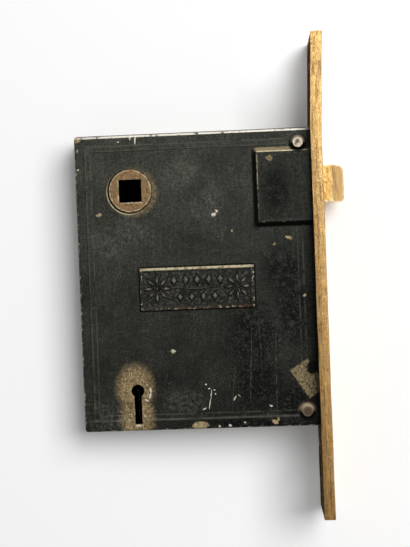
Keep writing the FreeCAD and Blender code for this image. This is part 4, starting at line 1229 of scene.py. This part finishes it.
        # A pale line on the lip, strongest at its lower rear: rubbing and a painted highlight.
        lip = self.front(coat, Mark(x - 0.2, z - 0.25, 8.6, 8.6), 0.05, 0.012)
        lit_lower_rear = self.front(coat, Mark(x - 6.0, z - 5.5, 8.0, 7.5), 0.5, 0.5)
        self.finish.brighten(coat, coat.both(lip, lit_lower_rear), 2.0, 0.35, 0.7)
        # Painted shade in the gap round the hub.
        coat.lay(PAINTED_SHADE, self.front(coat, Mark(x - 0.12, z - 0.15, 8.3, 8.3), 0.04, 0.012))

    def cap_material(self) -> Material:
        """Builds the japan of the cap, rubbed at its rim and round its holes, with painted shade on the walls of its
        holes.

        Returns:
            The material.
        """
        iron, coat = self.finish, self.finish.start("japanned_iron_cap")
        low, high = box_of("cap")
        for mark in marks((self.key.x, self.key.z - 4, 6, 9), (self.spindle.x, self.spindle.z, 9.5, 9.5)):
            iron.rub(coat, mark.on(coat, high.y, 8.0, 1.4, 0.3), 0.8)
        middle = (low + high) / 2
        half = (high - low) / 2
        for centre, size in (
            ((middle.x, -FACE, high.z), (half.x, 0.6, 0.6)),
            ((middle.x, -FACE, low.z), (half.x, 0.6, 0.6)),
            ((low.x, -FACE, middle.z), (0.6, 0.6, half.z)),
        ):
            iron.brighten(coat, coat.area(centre, size, 0.15, 0.3), 1.8, 0.42)
        # Painted shade on the walls of the holes through the cap.
        coat.lay(PAINTED_SHADE, coat.area((middle.x, 0, 0), (half.x - 0.6, WALL, half.z - 0.6), soft=0.005))
        for mark in self.cap_chips:
            iron.chip(coat, mark.on(coat, -FACE, 4.0, 0.5, 0.15))
        return coat.done()

    def crest_material(self) -> Material:
        """Builds the japan of the ornament, with painted shade at its foot and paler crests, partly rubbed and partly a
        painted highlight.

        Returns:
            The material.
        """
        iron, coat = self.finish, self.finish.start("japanned_iron_ornament")
        wide, tall = 40.0, 20.0  # past the whole tablet
        # Painted shade round the foot of the ornament.
        foot = coat.area((TABLET.across, FACE - 0.3, TABLET.up), (wide, 0.25, tall), 0.1, 0.2)
        coat.lay(iron.paint("#030303", 0.6), foot)
        # Paler crests: partly rubbed japan and partly a painted highlight.
        crest = coat.area((TABLET.across, FACE - 1.2, TABLET.up), (wide, 0.42, tall), 0.1)
        coat.lay(Coat("#6b6659", 0.4), crest, coat.grain(1.2, 0.35, 0.6))
        return coat.done()

    def cast_ornament(self) -> None:
        """Casts the tablet's plain ornament."""
        material = self.crest_material()
        parts = [bosses.mesh(material) for bosses in self.ornament]
        piece = link_mesh("tablet_ornament", join("tablet_ornament", parts, material))
        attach(piece, "case")
        log.info("cast the tablet's ornament: %d faces", len(piece.data.polygons))

    def build(self) -> None:
        """Dresses the case, cap, rivets and screws, and adds the ornament."""
        dress(self.case_material(), "case")
        dress(self.cap_material(), "cap")
        dress(WroughtSteel().make("wrought_steel_rivets"), "cap_screw_front", "cap_screw_rear")
        dress(WORN.make("worn_steel_rivet", middle_of("front_rivet_upper")), "front_rivet_upper")
        dress(BROWNED.make("browned_steel_rivet", middle_of("front_rivet_lower")), "front_rivet_lower")
        self.cast_ornament()


@dataclass
class Faceplate:
    """The rolled brass plate across the door's edge, with its top end sprung outwards.

    Attributes:
        bend_from: the height at which it leaves the case's line.
        bend_over: the length over which it bends.
        bend: how far it is bent, in degrees.
        cut: the distance between the cuts that let it bend and wander.
        wander: how far its edges wander from true.
        sharp: the angle in degrees from which an edge stays sharp.
        lugs_from: X behind which its lugs stay as they are.
    """

    bend_from: float = 49.0
    bend_over: float = 8.0
    bend: float = 2.2
    cut: float = 4.0
    wander: float = 0.12
    sharp: float = 25.0
    lugs_from: float = -0.5

    def lean(self, height: float) -> float:
        """How far out the plate stands.

        Args:
            height: where on the plate, in millimetres.

        Returns:
            Millimetres out of the case's line.
        """
        past = max(0.0, height - self.bend_from)
        curved = min(past, self.bend_over)
        slope = math.tan(math.radians(self.bend))
        return slope * (curved * curved / (2 * self.bend_over) + past - curved)

    def shift(self, at: Vector) -> Vector:
        """How far a point of the plate moves.

        Args:
            at: where it is, in millimetres.

        Returns:
            Its way, in millimetres.
        """
        if at.x <= self.lugs_from:
            return Vector()
        sway = noise.noise(Vector((at.x, at.y * 0.2, at.z * 0.11))) * self.wander
        return Vector((self.lean(at.z) + sway, 0, 0))

    def build(self) -> None:
        """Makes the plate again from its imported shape, bent and worn."""
        low, high = box_of("faceplate")
        count = int((high.z - low.z) / self.cut)
        cuts = [((0, 0, low.z + order * self.cut), (0, 0, 1)) for order in range(1, count)]
        mesh = reshape("faceplate", "faceplate_sprung", cuts, 1e-6, self.shift, self.sharp)
        piece = link_mesh("faceplate_sprung", mesh, RolledBrass().make("rolled_brass", high - low))
        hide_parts("faceplate")
        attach(piece, "case")
        log.info("bent the faceplate: %d faces", len(mesh.polygons))


@dataclass
class Hub:
    """The bronze hub that the knobs' square spindle turns.

    Attributes:
        square: the side of its square hole.
        radius: the radius of its journals.
        axis: a point on the axis that it turns about.
    """

    square: float = 8.0
    radius: float = 7.9
    axis: Vector = field(default_factory=lambda: mount("spindle_square"))

    def build(self) -> None:
        """Dresses the hub."""
        dress(DullBronze().make("dull_bronze", self), "hub")


@dataclass
class LatchBolt:
    """The latch bolt: its bevelled head, stem, pin, yoke and the spring round the stem.

    Attributes:
        wire: the radius of the spring's wire.
        turns: how many turns it has.
        sides: how many sides its wire has.
        steps: how many steps there are to a turn.
        travel: how far the latch draws back; not used.
        nose_round: the radius of the head's worn corners.
        nose_steps: where the corners are cut, in degrees round them; the first only marks the end face.
        sharp: the angle in degrees from which an edge of the head stays sharp.
        coil_sharp: the same for the spring.
    """

    wire: float = 0.5
    turns: int = 6
    sides: int = 10
    steps: int = 24
    travel: float = 8.0
    nose_round: float = 1.6
    nose_steps: tuple[float, ...] = (0.001, 22, 38, 52, 65, 78, 90)
    sharp: float = 30.0
    coil_sharp: float = 35.0

    def build(self) -> None:
        """Dresses the latch, wears its head round and winds its spring."""
        self.wear_head(CastBrass().make("cast_brass_latch", end_of("latch_head")))
        dress(GREASED.make("greased_steel_latch"), "latch_stem", "latch_pin", "latch_yoke")
        self.wind_spring(BluedSteel().make("blued_steel_latch_spring"))

    def wear_head(self, brass: Material) -> None:
        """Rounds the corners of the head's outer end, as the keeper and years of use have.

        Args:
            brass: the head's finish.
        """
        low, high = box_of("latch_head")
        middle, half, radius = (low.z + high.z) / 2, (high.z - low.z) / 2, self.nose_round

        def shift(at: Vector) -> Vector:
            """How far a point moves in to the round corner.

            Args:
                at: where it is, in millimetres.

            Returns:
                Its way, in millimetres.
            """
            side = math.copysign(1, at.z - middle)
            out, up = at.x - (high.x - radius), side * (at.z - middle) - (half - radius)
            if out <= 0 or up <= 0:
                return Vector()
            drawn = max(out, up) / math.hypot(out, up) - 1
            return Vector((out * drawn, 0, side * up * drawn))

        steps = [radius * (1 - math.cos(math.radians(angle))) for angle in self.nose_steps]
        cuts = [((high.x - step, 0, 0), (1, 0, 0)) for step in steps]
        cuts += [((0, 0, middle + side * (half - step)), (0, 0, 1)) for step in steps for side in (-1, 1)]
        mesh = reshape("latch_head", "latch_head_worn", cuts, 1e-7, shift, self.sharp)
        piece = link_mesh("latch_head_worn", mesh, brass)
        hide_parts("latch_head")
        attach(piece, "latch")
        log.info("rounded the latch's head: %d faces", len(mesh.polygons))

    def wind_spring(self, steel: Material) -> None:
        """Winds the spring from round wire in the place of its packed form.

        Args:
            steel: the spring's finish.
        """
        low, high = box_of("latch_spring")
        size, middle = high - low, (low + high) / 2
        form = Form(
            "wound_spring",
            {
                "Turns": float(self.turns),
                "Radius": (size.y / 2 - self.wire) / METRE,
                "Length": (size.x - 2 * self.wire) / METRE,
                "Wire": self.wire / METRE,
                "Place": (middle - Vector((size.x / 2 - self.wire, 0, 0))) / METRE,
            },
        )
        given = form.given
        radii = {"Start Radius": given["Radius"], "End Radius": given["Radius"]}
        spiral = {"Resolution": self.steps, "Rotations": given["Turns"], **radii, "Height": given["Length"]}
        coil = form.add(Kind.SPIRAL, None, spiral)
        ring = form.add(Kind.CIRCLE, {"mode": "RADIUS"}, {"Resolution": self.sides, "Radius": given["Wire"]})
        wire = form.add(Kind.SWEEP, None, {"Curve": coil, "Profile Curve": ring, "Fill Caps": True})
        lying = {"Geometry": wire, "Rotation": Euler((0, math.radians(90), 0)), "Translation": given["Place"]}
        mesh = form.mesh(form.add(Kind.TRANSFORM, None, lying), steel)
        smooth(mesh, self.coil_sharp)
        piece = link_mesh("latch_spring_coil", mesh)
        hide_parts("latch_spring")
        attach(piece, "case")
        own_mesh(piece)
        log.info("wound the latch spring: %d faces", len(mesh.polygons))


@dataclass
class DeadBolt:
    """The dead bolt: its brass head, steel tail, stump and rivets."""

    def build(self) -> None:
        """Dresses the dead bolt."""
        dress(CastBrass().make("cast_brass_bolt", end_of("bolt_head")), "bolt_head")
        dress(GREASED.make("greased_steel_bolt"), "bolt_tail", "bolt_stump", "bolt_rivets")


@dataclass
class Levers:
    """The lever tumblers with their flat springs, on their post.

    Attributes:
        count: how many there are.
    """

    count: int = 3

    def build(self) -> None:
        """Dresses the levers, springs and post."""
        orders = range(1, self.count + 1)
        dress(GREASED.make("greased_levers"), *(f"lever_{order}" for order in orders))
        dress(BluedSteel().make("blued_steel_springs"), *(f"lever_spring_{order}" for order in orders))
        dress(GREASED.make("greased_steel_post"), "lever_post")


@dataclass
class Studio:
    """The camera, lamps, white surroundings and the surface that the lock lies on.

    Attributes:
        eye: where the camera stands.
        yaw: its turn to the right, in degrees.
        pitch: its tilt up, in degrees.
        roll: its turn about its own line of sight, in degrees.
        focal_pixels: its focal length in pixels of the photograph.
        sensor: the width of its sensor.
        key_from: the direction of the main lamp, seen from the lock.
        key_distance: how far away it hangs.
        key_side: its side.
        back_side: the side of the lamp behind the lock, which hangs as far away.
        key_share: the share of plain light that each lamp gives.
        ambient: the strength of the light from all round.
        floor_side: the side of the surface under the lock.
        floor_turn: how far it is turned to lie under the plate's edge and the case, in degrees.
        floor_at: X and Y of its middle.
        floor_grey: how white it is.
        floor_glow: how much brighter it looks than it is.
        painted_fills: patches of painted light on the floor, seen only by the camera, that lighten the plate's shadow,
            each with its strength.
        shade_inset: how far inside the case's outline the painted shade under the case begins.
        middle: what the lamps point at.
    """

    eye: Triple = (-20.17, -400.0, 7.89)
    yaw: float = -2.855
    pitch: float = -0.789
    roll: float = -2.218
    focal_pixels: float = 1082.6
    sensor: float = 36.0
    key_from: Triple = (0.6, -1.0, 0.45)
    key_distance: float = 1400.0
    key_side: float = 980.0
    back_side: float = 500.0
    key_share: float = 0.8
    ambient: float = 0.21
    floor_side: float = 1600.0
    floor_turn: float = 3.07
    floor_at: tuple[float, float] = (2.0, 12.75)
    floor_grey: float = 0.96
    floor_glow: float = 0.09
    painted_fills: tuple[tuple[Mark, float], ...] = ((Mark(-10.0, 80.6, 9.2, 17.5), 0.27), (Mark(-2.3, -79.9, 5.3, 13.0), 0.13))
    shade_inset: float = 1.0
    middle: Triple = (-38.0, 0.0, 0.0)

    def camera(self) -> None:
        """Stands the camera where the photograph was taken from."""
        yaw, pitch, roll = (math.radians(a) for a in (self.yaw, self.pitch, self.roll))
        ahead = Vector((math.sin(yaw) * math.cos(pitch), math.cos(yaw) * math.cos(pitch), math.sin(pitch)))
        level = Vector((math.cos(yaw), -math.sin(yaw), 0))
        above = level.cross(ahead)
        right = level * math.cos(roll) + above * math.sin(roll)
        up = above * math.cos(roll) - level * math.sin(roll)
        lens = bpy.data.cameras.new("camera")
        lens.sensor_width = self.sensor
        lens.lens = self.focal_pixels * self.sensor / max(PHOTO_SIZE)
        lens.clip_start, lens.clip_end = 0.01, 20.0
        stand = bpy.data.objects.new("camera", lens)
        turn = Matrix((right, up, -ahead)).transposed().to_4x4()
        stand.matrix_world = Matrix.Translation(Vector(self.eye) / METRE) @ turn
        bpy.context.scene.collection.objects.link(stand)
        bpy.context.scene.camera = stand

    def lamp(self, name: str, towards: Vector, side: float) -> None:
        """Hangs a square lamp that gives a plane facing the lock's broad face its share of plain light.

        Args:
            name: its name.
            towards: the direction from the lock to the lamp.
            side: its side.
        """
        towards = towards.normalized()
        light = bpy.data.lights.new(name, "AREA")
        light.shape, light.size = "SQUARE", side / METRE
        light.energy = self.key_share * (math.pi * self.key_distance / METRE) ** 2 / abs(towards.y)
        hung = bpy.data.objects.new(name, light)
        hung.location = (Vector(self.middle) + towards * self.key_distance) / METRE
        hung.rotation_mode = "QUATERNION"
        hung.rotation_quaternion = towards.to_track_quat("Z", "Y")
        bpy.context.scene.collection.objects.link(hung)

    def surroundings(self) -> None:
        """Makes a world that is white to look at and gives soft light from all round."""
        world = bpy.data.worlds.new("white_room")
        world.use_nodes = True
        bpy.context.scene.world = world
        room = Tree(world.node_tree)
        path = room.add(Kind.PATH).node.outputs
        height = room.add(Kind.SPLIT, None, {0: room.add(Kind.PLACE, out="Generated")}, 2)
        rising = {"From Min": -0.8, "From Max": 0.8, "To Min": 0.1, "To Max": 0.8}
        walls = room.add(Kind.RANGE, None, {"Value": height, **rising})
        seen = room.add(Kind.MATH, "MAXIMUM", {0: path["Is Camera Ray"], 1: path["Is Transmission Ray"]})
        level = self.ambient
        for mask, instead in ((path["Is Glossy Ray"], walls), (seen, 1.0)):
            mixed = {"Factor_Float": mask, "A_Float": level, "B_Float": instead}
            level = room.add(Kind.MIX, None, mixed, "Result_Float")
        sky = room.add(Kind.BACKGROUND, None, {"Color": "#ffffff", "Strength": level})
        room.add(Kind.WORLD, None, {"Surface": sky})

    def floor_material(self) -> Material:
        """Builds white paper, painted black under the case as shade, and clear from behind and to shadows.

        Returns:
            The material.
        """
        paper = Surface("white_paper", Coat((self.floor_grey,) * 3 + (1.0,), rough=1.0))
        path = paper.add(Kind.PATH).node.outputs
        clear = paper.either(paper.add(Kind.GEOMETRY, out="Backfacing"), path["Is Shadow Ray"])
        low, high = box_of("case")
        half = (high - low) / 2 - Vector((self.shade_inset,) * 3)
        # Painted shade: the paper is black where the case lies over it, and has no glow there.
        shade_under_case = paper.area((low + high) / 2, (half.x, 100.0, half.z), soft=0.008)
        matt = paper.add(Kind.DIFFUSE, None, {"Color": paper.tint(shade_under_case, paper.colour, "#000000")})
        strength = self.floor_glow
        # Painted light: glowing patches, seen only by the camera, that lighten the plate's shadow on the floor.
        for mark, share in self.painted_fills:
            painted_fill = mark.on(paper, 0.0, THROUGH, 0.0, 1.0)
            strength = paper.add(Kind.MATH, "MULTIPLY_ADD", {0: painted_fill, 1: share, 2: strength})
        strength = paper.both(strength, path["Is Camera Ray"], paper.other(shade_under_case))
        glow = paper.add(Kind.EMISSION, None, {"Color": "#ffffff", "Strength": strength})
        lit = paper.add(Kind.ADD_SHADERS, None, {0: matt, 1: glow})
        mixed = paper.add(Kind.MIX_SHADERS, None, {0: clear, 1: lit, 2: paper.add(Kind.CLEAR)})
        paper.add(Kind.OUTPUT, None, {"Surface": mixed})
        return paper.material

    def floor(self) -> None:
        """Lays the white surface under the lock, clear to whoever looks from behind it."""
        turn = Matrix.Rotation(math.radians(self.floor_turn), 3, "Z")
        at, half = Vector((*self.floor_at, 0.0)), self.floor_side / 2
        corners = [at + turn @ Vector((x * half, 0, z * half)) for x, z in ((-1, -1), (1, -1), (1, 1), (-1, 1))]
        mesh = bpy.data.meshes.new("white_floor")
        mesh.from_pydata([c / METRE for c in corners], [], [(0, 1, 2, 3)])
        material = self.floor_material()
        link_mesh("white_floor", mesh, material)

    def build(self) -> None:
        """Sets up the whole studio."""
        self.camera()
        self.surroundings()
        self.lamp("key_lamp", Vector(self.key_from), self.key_side)
        self.lamp("back_lamp", Vector((0.0, 1.0, 0.0)), self.back_side)
        self.floor()
        bpy.context.scene.view_settings.view_transform = "Standard"
        log.info("set up the studio")


def main() -> None:
    """Builds the studio and each sub-assembly."""
    logging.basicConfig(level=logging.INFO, format="%(name)s: %(message)s")
    for assembly in (Studio(), Casing(), Faceplate(), Hub(), LatchBolt(), DeadBolt(), Levers()):
        assembly.build()
        log.info("built %s", type(assembly).__name__)


if __name__ == "__main__":
    main()
